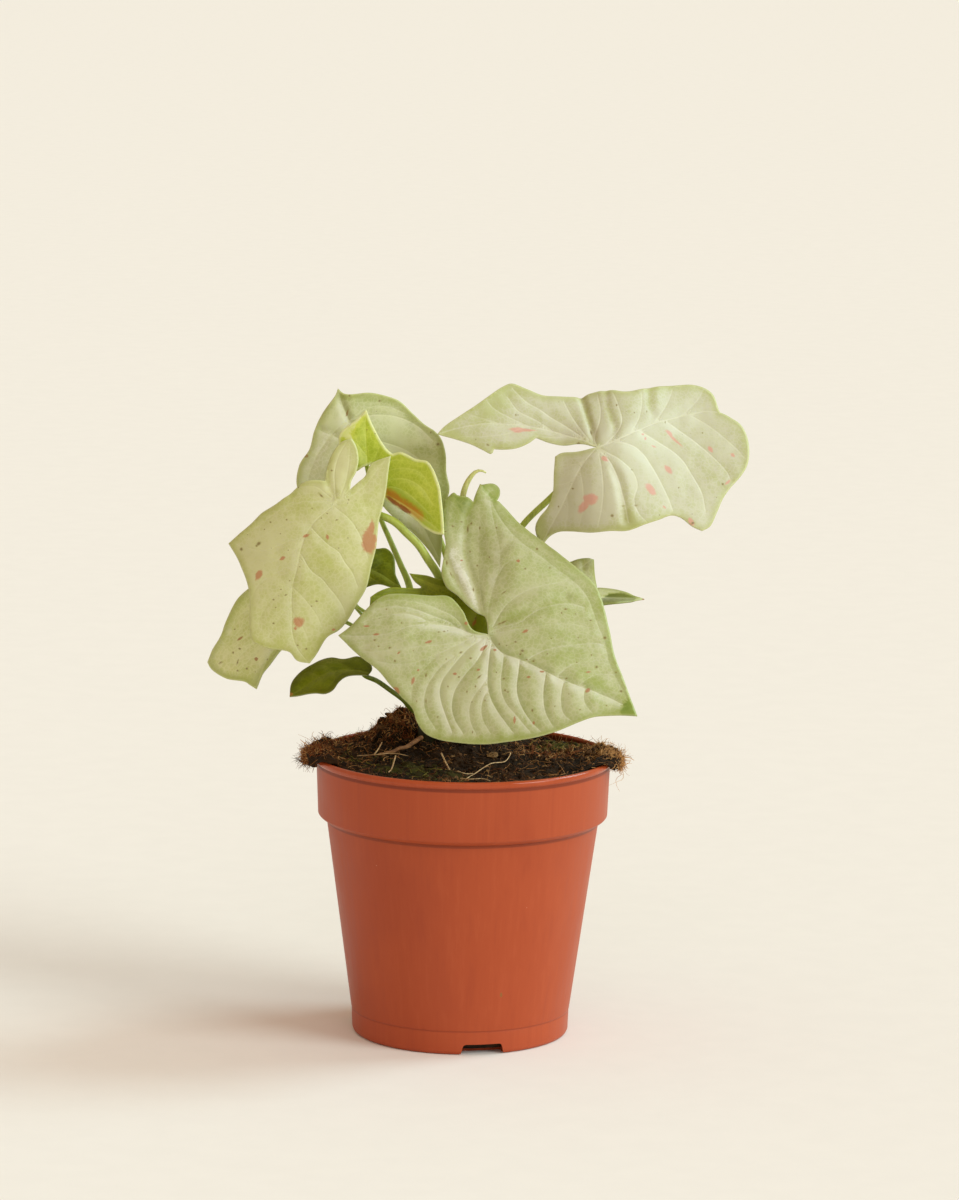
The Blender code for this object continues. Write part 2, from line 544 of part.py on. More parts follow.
def make_leaf(name, leaf, collection):
    """Blade of a leaf: its outline filled with triangles, bent to its depth and thickened."""
    rim = rim_of(leaf["outline"], BLADE_STEP)
    low, high = rim.min(0), rim.max(0)
    rows = np.arange(low[1], high[1], BLADE_STEP * math.sqrt(3) / 2)
    grid = np.array([(x + (k % 2) * BLADE_STEP / 2, y) for k, y in enumerate(rows)
                     for x in np.arange(low[0], high[0], BLADE_STEP)])
    grid = grid[inside(grid, rim)]
    grid = grid[clear_of(grid, rim, RIM_CLEAR)]
    flat = [Vector(p) for p in np.vstack([rim, grid])]
    corners, _, faces, _, _, _ = delaunay_2d_cdt(flat, [], [list(range(len(rim)))], 1, 1e-6)
    depth = leaf["at"]([tuple(c) for c in corners])
    bm = bmesh.new()
    verts = [bm.verts.new(seen(c.x, c.y, d)) for c, d in zip(corners, depth)]
    for face in faces:
        bm.faces.new([verts[k] for k in face])
    bmesh.ops.triangulate(bm, faces=bm.faces)
    bmesh.ops.recalc_face_normals(bm, faces=bm.faces)
    bm.faces.ensure_lookup_table()
    if sum(f.normal.y * f.calc_area() for f in bm.faces) > 0:
        bmesh.ops.reverse_faces(bm, faces=bm.faces)
    mesh = bpy.data.meshes.new(name)
    bm.to_mesh(mesh)
    bm.free()
    made = add_object(name, mesh, material(name, leaf["colour"], 0.5), collection)
    solid = made.modifiers.new("blade", "SOLIDIFY")
    solid.thickness = BLADE * MM
    solid.offset = 0.0
    apply_modifiers(made)
    made.data.shade_smooth()
    return made


def stalk_points(stalk):
    """Route of a stalk in metres with its radius in mm, up to its seat against the blade."""
    route = [(*seen(a, h, near), r * MM) for a, h, near, r in stalk["path"]]
    if stalk["leaf"]:
        leaf = LEAVES[stalk["leaf"]]
        knot = leaf_point(leaf, *stalk["knot"])
        normal = leaf_normal(leaf, *stalk["knot"]) * stalk["side"]
        radius = stalk["path"][-1][3] * SEAT_TAPER * MM
        seat = knot + normal * (BLADE / 2 + GAP + SEAT_SLACK) * MM
        route.append((*(seat + normal * SEAT_RUN * MM), radius))
        route.append((*seat, radius))
    return smooth_arc([tuple(v / MM for v in p) for p in route], STALK_STEP) * MM


def tube(name, points, collection):
    """A round stalk along points that hold x, y, z and the radius, as a closed mesh."""
    curve = bpy.data.curves.new(name, "CURVE")
    curve.dimensions = "3D"
    curve.bevel_depth = 1.0
    curve.bevel_resolution = STALK_SIDES_LEVEL
    curve.use_fill_caps = True
    spline = curve.splines.new("POLY")
    spline.points.add(len(points) - 1)
    for place, (x, y, z, radius) in zip(spline.points, points):
        place.co = (x, y, z, 1.0)
        place.radius = radius
    drawn = bpy.data.objects.new(name, curve)
    collection.objects.link(drawn)
    bpy.context.view_layer.update()
    graph = bpy.context.evaluated_depsgraph_get()
    mesh = bpy.data.meshes.new_from_object(drawn.evaluated_get(graph))
    matrix = drawn.matrix_world.copy()
    bpy.data.objects.remove(drawn)
    bm = bmesh.new()
    bm.from_mesh(mesh)
    bmesh.ops.remove_doubles(bm, verts=bm.verts, dist=1e-6)
    bmesh.ops.triangulate(bm, faces=bm.faces)
    bmesh.ops.recalc_face_normals(bm, faces=bm.faces)
    bm.to_mesh(mesh)
    bm.free()
    made = bpy.data.objects.new(name, mesh)
    made.matrix_world = matrix
    collection.objects.link(made)
    return made


def post(name, at, radius, foot, top, sides, collection):
    """An upright cylinder from foot to top, in mm."""
    bm = bmesh.new()
    bmesh.ops.create_cone(bm, cap_ends=True, segments=sides, radius1=radius * MM,
                          radius2=radius * MM, depth=(top - foot) * MM)
    bmesh.ops.translate(bm, verts=bm.verts, vec=Vector((*at, (top + foot) / 2)) * MM)
    mesh = bpy.data.meshes.new(name)
    bm.to_mesh(mesh)
    bm.free()
    made = bpy.data.objects.new(name, mesh)
    collection.objects.link(made)
    return made


def make_stem(name, stem, collection):
    """A short leafy stem, grown as one piece with its leaf stalks."""
    made = post(name, stem["at"], STEM_RADIUS, STEM_FOOT, STEM_TOP, STEM_SIDES, collection)
    made.data.materials.append(material(name, stem["colour"], 0.45))
    for number, stalk in enumerate(stem["stalks"]):
        boolean(made, tube(f"{name}_stalk_{number}", stalk_points(stalk), collection), "UNION")
    made.data.shade_smooth()
    return made


def turned(name, profile, steps, collection, mat):
    """A profile of (radius, height) in mm, turned about the axis."""
    mesh = bpy.data.meshes.new(name)
    mesh.from_pydata([(r * MM, 0.0, z * MM) for r, z in profile],
                     [(k, k + 1) for k in range(len(profile) - 1)], [])
    made = add_object(name, mesh, mat, collection)
    screw = made.modifiers.new("turn", "SCREW")
    screw.steps = steps
    screw.render_steps = steps
    screw.use_merge_vertices = True
    screw.merge_threshold = 0.00001
    screw.use_normal_calculate = False
    apply_modifiers(made)
    return made


def make_pot(collection, cutters):
    """The nursery pot: a thin turned shell with drain notches in its foot."""
    inner_foot = SEAM_RADIUS - WALL - 0.4
    inner_step = STEP_RADIUS - WALL
    inner_band = BAND_FOOT_RADIUS - WALL
    profile = [
        (0.0, FLOOR), (inner_foot - 2.0, FLOOR), (inner_foot, FLOOR + 2.0),
        (inner_step, STEP_HEIGHT - 0.6), (inner_band, BAND_FOOT_HEIGHT + 0.6),
        (BAND_RADIUS - WALL + 0.3, POT_TOP - 1.2), (BAND_RADIUS - 0.6, POT_TOP - 0.2),
        (RIM_RADIUS - 0.7, POT_TOP), (RIM_RADIUS, POT_TOP - 0.8),
        (RIM_RADIUS, POT_TOP - LIP_HEIGHT + 0.8), (BAND_RADIUS, POT_TOP - LIP_HEIGHT),
        (BAND_FOOT_RADIUS, BAND_FOOT_HEIGHT), (STEP_RADIUS, STEP_HEIGHT),
        (SEAM_RADIUS, SEAM_HEIGHT), (SEAM_RADIUS - 0.2, SEAM_HEIGHT - 0.3),
        (FOOT_RADIUS, FOOT_ROUND), (FOOT_RADIUS - 0.5, 0.4), (FOOT_RADIUS - FOOT_ROUND, 0.0),
        (0.0, 0.0),
    ]
    plastic = material("pot_plastic", (0.43, 0.08, 0.03), 0.35)
    pot = turned("pot", profile, POT_STEPS, collection, plastic)
    for number in range(NOTCHES):
        bm = bmesh.new()
        bmesh.ops.create_cube(bm, size=1.0)
        for corner in bm.verts:
            wide = NOTCH_WIDE if corner.co.z < 0 else NOTCH_NARROW
            corner.co.x *= wide * MM
            corner.co.y = (corner.co.y * NOTCH_DEPTH - NOTCH_OUT) * MM
            corner.co.z = (NOTCH_TALL if corner.co.z > 0 else -1.0) * MM
        turn = math.radians(NOTCH_TURN + number * 360.0 / NOTCHES)
        bmesh.ops.rotate(bm, verts=bm.verts, cent=(0, 0, 0),
                         matrix=Matrix.Rotation(turn, 3, "Z"))
        mesh = bpy.data.meshes.new("notch")
        bm.to_mesh(mesh)
        bm.free()
        cutter = bpy.data.objects.new("notch", mesh)
        cutter.hide_render = True
        cutter.display_type = "WIRE"
        cutters.objects.link(cutter)
        boolean(pot, cutter, "DIFFERENCE")
    pot.data.set_sharp_from_angle(angle=math.radians(30))
    return pot


def heap(x, y, at, height, spread):
    """A round heap of soil, as the height that it adds at a place."""
    return height * math.exp(-((x - at[0]) ** 2 + (y - at[1]) ** 2) / (2 * spread ** 2))


def soil_height(x, y):
    """Height of the top of the soil at a place, in mm."""
    rough = noise.fractal(Vector((x / SOIL_LUMP_SIZE, y / SOIL_LUMP_SIZE, 3.7)), 0.8, 2.0, 3)
    mound = heap(x, y, MOUND_AT, MOUND_HEIGHT, MOUND_SPREAD)
    crown = heap(x, y, CROWN_AT, CROWN_HEIGHT, CROWN_SPREAD)
    return SOIL_LEVEL + SOIL_LUMP * rough + mound + crown


def tuft_stage(turn):
    """0 where the soil stays in the mouth, 1 at the rim's inner edge, 2 over it, 3 and 4 hanging."""
    away = min(min((turn - centre) % POT_STEPS, (centre - turn) % POT_STEPS)
               for centre in TUFT_TURNS)
    return max(0, 4 - away)


def edge_profile(stage, mouth, rest):
    """The soil's edge as eight (radius, height) points, from its top round to its side."""
    lip = RIM_RADIUS + GAP
    above = POT_TOP + GAP
    if stage == 0:
        return [(mouth - 1.6, rest + 0.5), (mouth - 1.2, rest + 0.4), (mouth - 0.9, rest + 0.2),
                (mouth - 0.7, rest), (mouth - 0.6, rest - 0.3), (mouth - 0.5, rest - 0.7),
                (mouth - 0.45, rest - 1.1), (mouth - 0.4, rest - 1.6)]
    if stage == 1:
        return [(mouth - 0.8, above + 1.2), (mouth - 0.1, above + 1.1), (mouth + 0.4, above + 0.8),
                (mouth + 0.6, above + 0.4), (mouth + 0.4, above + 0.1), (mouth + 0.2, above),
                (mouth - 0.2, above), (mouth - 0.4, above - 2.3)]
    reach = TUFT_REACH * {2: 0.25, 3: 0.75, 4: 1.0}[stage]
    drop = TUFT_DROP * {2: 0.0, 3: 0.7, 4: 1.0}[stage]
    return [(mouth - 0.6, above + 2.4), (lip - 0.6, above + 2.2), (lip + 0.5 + reach, above + 1.0),
            (lip + 0.4 + reach, above + 0.3 - drop), (lip + 0.3, above + 0.1 - drop),
            (lip, above), (mouth - 0.2, above), (mouth - 0.4, above - 2.3)]


def make_soil(collection, cutters):
    """The root ball: a lumpy top, tufts over the rim, and the pot's inner form below."""
    inner_foot = SEAM_RADIUS - WALL - 0.4 - GAP
    inner_step = STEP_RADIUS - WALL - GAP
    inner_band = BAND_FOOT_RADIUS - WALL - GAP
    mouth = BAND_RADIUS - WALL - GAP
    rings = []
    for turn in range(POT_STEPS):
        angle = 2 * math.pi * turn / POT_STEPS
        ways = (math.cos(angle), math.sin(angle))
        stage = tuft_stage(turn)
        top = []
        for ring in range(1, SOIL_RINGS):
            share = ring / SOIL_RINGS
            radius = mouth * share
            height = soil_height(radius * ways[0], radius * ways[1])
            top.append((radius, height + stage * TUFT_RISE * share ** 3))
        rest = min(soil_height(mouth * ways[0], mouth * ways[1]), POT_TOP - 1.4)
        top += edge_profile(stage, mouth, rest)
        side = [(inner_band, BAND_FOOT_HEIGHT + 0.75), (inner_step, STEP_HEIGHT - 0.45),
                (inner_foot, FLOOR + 2.0 + GAP), (inner_foot - 2.0, FLOOR + GAP)]
        rings.append([Vector((r * ways[0], r * ways[1], z)) * MM for r, z in top + side])
    bm = bmesh.new()
    columns = [[bm.verts.new(p) for p in ring] for ring in rings]
    top_centre = bm.verts.new(Vector((0, 0, soil_height(0, 0))) * MM)
    foot_centre = bm.verts.new(Vector((0, 0, FLOOR + GAP)) * MM)
    for turn, here in enumerate(columns):
        there = columns[(turn + 1) % POT_STEPS]
        bm.faces.new((top_centre, here[0], there[0]))
        for a, b, c, d in zip(here, here[1:], there[1:], there):
            bm.faces.new((a, b, c, d))
        bm.faces.new((foot_centre, there[-1], here[-1]))
    bmesh.ops.triangulate(bm, faces=bm.faces)
    mesh = bpy.data.meshes.new("soil")
    bm.to_mesh(mesh)
    bm.free()
    soil = add_object("soil", mesh, material("soil", (0.035, 0.022, 0.012), 0.95), collection)
    for name, stem in STEMS.items():
        hole = post(f"{name}_hole", stem["at"], STEM_RADIUS + GAP, STEM_FOOT - GAP,
                    STEM_HOLE_TOP, STEM_SIDES, cutters)
        hole.hide_render = True
        hole.display_type = "WIRE"
        boolean(soil, hole, "DIFFERENCE")
    return soil


def make_dead_stalk(collection):
    """A dry leaf stalk that lies on the soil, over its lumps."""
    points = []
    for x, y in smooth_arc(DEAD_STALK, DEAD_STALK_STEP):
        crest = max(soil_height(x + dx, y + dy) for dx in (-2, 0, 2) for dy in (-2, 0, 2))
        height = crest + DEAD_STALK_RADIUS + GAP
        points.append((x * MM, y * MM, height * MM, DEAD_STALK_RADIUS * MM))
    made = tube("dead_stalk", points, collection)
    made.data.materials.append(material("dead_stalk", (0.20, 0.10, 0.04), 0.8))
    return made


def main():
    for old in list(bpy.data.objects):
        bpy.data.objects.remove(old)
    collection = bpy.data.collections.new("potted_syngonium")
    cutters = bpy.data.collections.new("cutters")
    bpy.context.scene.collection.children.link(collection)
    bpy.context.scene.collection.children.link(cutters)
    for leaf in LEAVES.values():
        leaf["at"] = thin_plate(leaf["depth"])
    make_pot(collection, cutters)
    make_soil(collection, cutters)
    for name, stem in STEMS.items():
        make_stem(name, stem, collection)
    for name, leaf in LEAVES.items():
        make_leaf(name, leaf, collection)
    make_dead_stalk(collection)


main()
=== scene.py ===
"""Potted syngonium: the finished look of a young arrowhead plant in a 12 cm nursery pot.

Metres, +Z up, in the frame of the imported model. Plain numbers named in the data are mm.
"""
import math
import random

import bmesh
import bpy
import numpy as np
from bpy.props import FloatProperty, FloatVectorProperty, IntProperty, PointerProperty
from bpy.types import Operator, Panel, PropertyGroup
from mathutils import Matrix, Vector, noise
from mathutils.bvhtree import BVHTree
from mathutils.geometry import delaunay_2d_cdt
from mathutils.kdtree import KDTree


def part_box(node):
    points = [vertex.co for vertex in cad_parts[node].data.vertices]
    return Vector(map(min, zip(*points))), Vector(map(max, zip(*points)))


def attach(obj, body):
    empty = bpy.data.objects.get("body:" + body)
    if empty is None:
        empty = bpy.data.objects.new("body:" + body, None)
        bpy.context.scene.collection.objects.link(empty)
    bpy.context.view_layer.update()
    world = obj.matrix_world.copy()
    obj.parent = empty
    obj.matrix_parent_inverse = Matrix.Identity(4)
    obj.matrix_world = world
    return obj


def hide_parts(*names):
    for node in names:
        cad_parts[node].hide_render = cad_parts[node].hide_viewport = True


bl_info = {
    "name": "Potted Syngonium",
    "version": (1, 0, 0),
    "blender": (4, 5, 0),
    "location": "3D View > Sidebar > Syngonium",
    "description": "A young arrowhead plant with pale, flecked leaves in a nursery pot",
    "category": "Add Mesh",
}

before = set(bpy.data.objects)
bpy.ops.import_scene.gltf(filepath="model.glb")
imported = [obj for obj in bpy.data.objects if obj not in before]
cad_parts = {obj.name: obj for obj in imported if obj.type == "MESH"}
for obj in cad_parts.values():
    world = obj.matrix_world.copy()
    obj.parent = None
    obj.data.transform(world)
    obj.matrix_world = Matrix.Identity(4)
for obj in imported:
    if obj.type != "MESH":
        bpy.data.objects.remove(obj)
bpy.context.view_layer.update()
POT_LOW, POT_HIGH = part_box("pot")

MM = 0.001

# The eye that the outlines below were read from: in front of the plant and above it
EYE_ACROSS = 5.6
EYE_BACK = 2000.0
EYE_UP = 510.5
EYE_PITCH = 9.5
EYE_ROLL = 0.787
EYE_FOCAL = 152.4
EYE_SENSOR = 36.0

# Half the width of the paper on the floor, in metres
FLOOR_REACH = 15.0

# The way to the light on the outlines' plane: the slopes beside veins and folds that face it are painted
# lit, the others painted shaded
LIGHT_WAY = (0.85, 0.5)


def pairs(*run):
    """A flat run of numbers as points (across, up)."""
    return list(zip(run[::2], run[1::2]))


def rows(size, *run):
    """A flat run of numbers as rows of one size."""
    return [run[at:at + size] for at in range(0, len(run), size)]


def lines(heads, *runs):
    """Flat runs, each as its first `heads` numbers and then its points (across, up)."""
    return [(*run[:heads], pairs(*run[heads:])) for run in runs]


# The leaves: the material slot, the kind of blade in LOOKS, how deep its relief is beside the
# others', and whether the eye sees its underside. Outlines run from corner to corner, starting
# and ending at the knot where the stalk joins; each arc starts where the last one ends. Depths
# are (across, up, near) points.
LEAVES = {}
LEAVES["leaf_front"] = {
    "slot": "leaf_pale", "look": "front", "relief": 0.55, "outline": [
    pairs(2.9,163.8, -1,171.2, -6.5,176.9, -14.7,177.3, -23.3,177.8, -32,177.2, -36.7,174.3, -44.7,165.4,
    -50.6,160.6),
    pairs(-42.9,153.1, -34.2,146.3, -29.8,141, -25.4,136.3, -20.6,131.1, -18.8,125.9, -15.7,121.5,
    -10.5,119, -1.9,117.6, 8.5,117.2, 18.8,118.5, 29.1,120.4, 37.7,123.1, 46.3,126.8, 53.1,129.1,
    61.8,129.8, 69.4,129.4),
    pairs(64.2,143.2, 60.2,152.8, 57.4,165.1, 53.4,179.1, 49.9,184.3, 42.9,190.3, 35.1,196.4, 31.3,199.2,
    25.5,203.4, 20.8,207.2, 15.9,212.4, 12.2,216.2),
    pairs(13.3,218.4, 13.2,221.2, 10.9,223.1, 5.2,222.6),
    pairs(3.9,219.6, 2.5,215.6),
    pairs(.3,217.2, -3.8,217.9, -5,218.9, -8.7,215.8),
    pairs(-9.5,210, -9.2,204, -8.2,198, -9.1,191.5, -9.7,186, -7.6,180.8, -3.2,177.6, .8,173.6, 4.6,170.8,
    7.9,169, 9.2,162)],
    "depth": rows(3, 9.2,162,38, -50,161.5,33, -25,160,40, -23,177,29, -20,131,50, 8.5,117.2,62, 8,140,52,
    69.4,129.4,61, 45,140,56, 60,155,42, 50,184,23, 30,170,36, 31,199,11, 20,190,23, 2.7,200,8, -9,205,7,
    -9.6,186,18, 12,216,4, 5.4,222.7,1, -5,218,2, 13.5,221,-4)}
LEAVES["leaf_left"] = {
    "slot": "leaf_pale", "look": "left", "relief": 0.22, "outline": [
    pairs(-43.4,222.5, -40.6,225, -39.4,228, -38,230.4),
    pairs(-35,231.8, -30.4,233.4),
    pairs(-31.3,227, -32.1,219.5, -33.4,213, -34.9,207, -35.4,201.8, -36,196, -37.8,188.3, -39.6,180.2,
    -43,174, -47.1,166.6, -50.5,162.7, -55,159.9, -59.5,152.5, -62,149.2),
    pairs(-67.1,150.2, -70.1,153.6, -79.2,155.2, -84.6,157.8, -86,163.5, -86.3,178.2, -90.3,189.7,
    -94.6,197.2),
    pairs(-86.6,204.4, -81.4,209.8, -75.4,213.7, -67.9,219.9, -64.9,222.3, -60.3,223.2, -56.6,223),
    pairs(-55.5,229.5, -53,235.2, -49.8,238.8, -46,240.2),
    pairs(-44.2,237, -43.2,232, -44,227, -46,223, -46.5,219.7)],
    "depth": rows(3, -51.5,214.3,13, -30.5,233.7,6, -36,210,12, -36.5,194,17, -47,167,19, -62,149.2,27,
    -66,185,20, -86,160,20, -86.3,178,15, -94.6,197.2,4, -75,213,8, -60.3,223.2,9, -52,232,6, -50.8,240.3,3,
    -45,188,20, -80,195,13, -44.3,228.2,7)}
LEAVES["leaf_young"] = {
    "slot": "leaf_bright", "look": "young", "relief": 0.5, "turned": True, "outline": [
    pairs(-38.6,220, -38,225, -37.8,230),
    pairs(-41.4,228.8, -44.2,227, -47.4,228),
    pairs(-50,234, -51.1,240, -50.3,242.4, -48.6,244.4, -45.2,246.9, -42.6,249.4, -40.4,251.8),
    pairs(-38.5,247.2, -35.9,242, -34.1,238.8, -32,236, -29.8,234.2),
    pairs(-26.6,235, -24,234, -20.4,232.2, -16,231.4, -14,229, -12.2,225, -10.4,219.3, -9.4,212, -9,202),
    pairs(-12,202.2, -16.5,204.5, -21.9,209.2, -27,212.4, -32.3,215.5, -36,217.6)],
    "depth": rows(3, -38.5,220,-4, -50,236,-4, -40.4,251.8,-7, -44,240,-2, -33,232,-3, -24,234,0, -22,222,2,
    -11,222,8, -9,202,14, -22,209.5,3)}
LEAVES["leaf_upper_left"] = {
    "slot": "leaf_pale", "look": "upper", "relief": 0.4, "outline": [
    pairs(-49.6,258.2, -47.5,257.6, -39.2,258.4, -32.9,257.3, -27.2,255.2, -21.5,250.1, -17.2,246.2,
    -12.9,243.4, -10.5,240.6, -8.6,234.4, -8.2,227, -6.9,220.4, -8.4,213.6, -9.4,204, -9.8,196,
    -10.3,188.6),
    pairs(-14.5,195, -19,200.2, -24.4,205.2, -30,209.6, -34.6,215, -37.4,222, -37.6,229.4),
    pairs(-42,230.4, -48.2,227.4, -50.6,219, -53,211.6, -57,208),
    pairs(-64,213, -67.6,220.6, -66.7,229, -62.8,235.5, -61,242.6, -57.5,250, -53,256.8, -51.6,260)],
    "depth": rows(3, -47.8,247.3,-20, -51.6,260,-27, -26,255,-25, -9,236,-15, -8,217,-11, -10.3,188.6,-6,
    -30,235,-17, -29.5,208.6,-10, -46,209,-9, -57,208,-8, -67.6,220.6,-14, -61,242,-22, -45,230,-14)}
LEAVES["leaf_right"] = {
    "slot": "leaf_cream", "look": "cream", "relief": 0.32, "outline": [
    pairs(45.3,239.3, 38,238.6, 32.8,239.3, 27.2,241.3),
    pairs(24.2,239.1, 19.9,237.2, 14.8,236.5, 10.5,236.6),
    pairs(9.6,234.7, 6.2,236.1, 1.8,238.3, -3.3,240, -12.1,242.3),
    pairs(-9.4,245.4, -3.5,249.6, 2.5,253.6, 8.5,258, 13.6,261.6, 17,262.9, 23.9,260.4, 29.1,258.5, 36,258,
    44.6,257.9, 48.9,259.4, 55.8,260.9, 62.6,260.3, 70.4,261.7, 79.8,262.8, 91,262.9, 96.5,260, 99.9,252.4),
    pairs(104,250.5, 108.4,247.5, 111,242.8, 111.9,237.5, 111.2,231.4, 108.7,227, 105.3,223, 101.9,218.1,
    99.4,212, 96.9,206.7, 93.9,204.9),
    pairs(90,206.6, 85.6,210, 81.7,211, 76.2,209, 71,207.2, 64.2,204.6, 57.3,204.4, 49.6,203.6, 41.8,204,
    36.7,203.7, 33.2,201.9, 30.7,198.8),
    pairs(28.1,201.8, 27.5,205.8, 28.9,209.3, 32.3,213.7, 34.1,219, 34.5,226.8, 34.9,233.8),
    pairs(37.4,235.4, 43.2,236, 51.5,238)],
    "depth": rows(3, 51.5,238,0, -12.1,242.3,4, 17,262.9,-16, 15,237,1, 36,258,-18, 46,258,-22, 56,261,-22,
    80,262.8,-34, 97,259,-38, 111.9,237.5,-24, 94,205,0, 76,209,6, 57,204.4,12, 31,199,3, 28,206,0,
    34.8,233,-2, 50,222,8, 78,232,-8, 62,243,-6, 85,250.5,-26)}
LEAVES["leaf_low_left"] = {
    "slot": "leaf_pale", "look": "low", "relief": 0.5, "outline": [
    pairs(-61,166.5, -57.5,163),
    pairs(-65,159.5, -72.9,154.6, -78.2,148, -80.9,144.4, -83.3,138.4),
    pairs(-85.7,139.9, -87.8,141.3, -95.3,142.5, -101.2,146.2, -102.8,149),
    pairs(-100.7,154.3, -97.8,159.3, -96,164.7, -93.3,170.7, -90.1,175.6, -86,179.4, -77,184, -67,186),
    pairs(-66.5,180, -64,172)],
    "depth": rows(3, -64,172,-6, -57.5,163,-3, -83.3,138.4,2, -102.8,149,-14, -93.3,170.7,-20, -67,186,-16,
    -82,158,-7)}
LEAVES["leaf_small"] = {
    "slot": "leaf_dark", "look": "dark", "relief": 0.6, "outline": [
    pairs(-36.9,147.2, -38.1,149.9),
    pairs(-42.9,152.2, -48.3,151.2, -53.1,151.6, -57.4,150.4, -62.7,147.3, -67,144, -69.4,140.2,
    -69.9,135.5),
    pairs(-67,135.9, -60,137.3, -55.7,137, -52.5,138.5, -50.4,141.5, -48.2,143.4, -45,144.5, -38.6,144.6)],
    "depth": rows(3, -38.6,145,15, -38.1,149.9,8, -53.1,151.6,6, -67,144,12, -69.9,135.5,22, -55.7,137,24,
    -55,145,17)}
LEAVES["leaf_mid"] = {
    "slot": "leaf_dark", "look": "shaded", "relief": 0.9, "outline": [
    pairs(-46,193, -49,195.5),
    pairs(-43,196.5, -36,195.9, -31.9,196, -28.8,192.8, -28.2,188.9, -28,185.7, -26.6,182.6, -25.6,180.2),
    pairs(-29.8,180.4, -34.9,181.6, -39.4,180.3, -47,176.5, -57,172),
    pairs(-58.5,179, -56,187, -52,192.5),
    pairs(-49,190.6, -46,189)],
    "depth": rows(3, -46,189,-18, -49,195.5,-24, -32,196,-26, -25.6,180.2,-15, -39,180.3,-15, -57,172,-22,
    -55,190,-30)}
LEAVES["leaf_tucked"] = {
    "slot": "leaf_dark", "look": "shaded", "relief": 0.9, "outline": [
    pairs(0,183, -2,187),
    pairs(-6,185.2, -10,183.9, -15.8,185.4, -22.4,186.2),
    pairs(-20.3,183, -17.6,180.6, -24.4,180.3, -30,180.3, -35,178.5, -38,176.4),
    pairs(-38,168, -33,158, -20,147),
    pairs(-8,151, 2,156.5, 10,160.5, 14.5,168, 14,177, 10,184),
    pairs(6,182, 3,178)],
    "depth": rows(3, 3,178,11, -2,187,6, -10,183.6,11, -22.4,186.2,12, -38,176.4,21, -20,147,24, -35,160,24,
    -18,168,18, -2,156,13, 14.5,168,9, 10,184,4)}
LEAVES["leaf_behind"] = {
    "slot": "leaf_pale", "look": "behind", "relief": 0.9, "outline": [
    pairs(31,186.5, 33,190),
    pairs(40.5,191.3, 45.2,192.9, 48.7,193.3, 50.9,192.8),
    pairs(51.1,189.3, 51.6,185, 52.3,181.2),
    pairs(55.9,181.1, 60,180.6, 64,179.8, 67.6,178.2, 71.4,177),
    pairs(66.4,176.2, 60.6,175.5, 55,174.6, 45,171.5, 34,165),
    pairs(33,170, 33.5,175.5, 34,181)],
    "depth": rows(3, 34,181,-18, 33,190,-24, 50.9,192.8,-23, 52.3,181,-22, 60,180.6,-25, 71.4,177,-20,
    60.6,175.5,-9, 45,171.5,-7, 34,165,-8, 46,182,-17)}
LEAVES["leaf_back_right"] = {
    "slot": "leaf_pale", "look": "front", "relief": 1.0, "turned": True, "outline": [
    pairs(26,176, 31,183, 40,186),
    pairs(46,181, 49,172, 49,160, 46,148, 40,136, 36,128),
    pairs(27,133, 16,143, 9,155, 5,168, 7,180),
    pairs(15,181, 21,176, 24,171)],
    "depth": rows(3, 24,171,-40, 40,186,-38, 49,162,-54, 36,128,-84, 24,150,-64, 6,168,-48, 7,180,-40)}
LEAVES["leaf_back_left"] = {
    "slot": "leaf_pale", "look": "front", "relief": 1.0, "turned": True, "outline": [
    pairs(-33,240, -28,246, -20,247.5),
    pairs(-16,240, -15.5,230, -19,220, -26,211.5),
    pairs(-31.6,216, -35.8,223, -38.2,230, -45,232, -52,234.6, -55.6,240.6, -52,248),
    pairs(-44,247, -38.5,242, -35.5,236.5)],
    "depth": rows(3, -35.5,236.5,-48, -20,247.5,-48, -15.5,230,-58, -26,211.5,-84, -38,224,-68, -55,235,-56,
    -52,248,-46)}

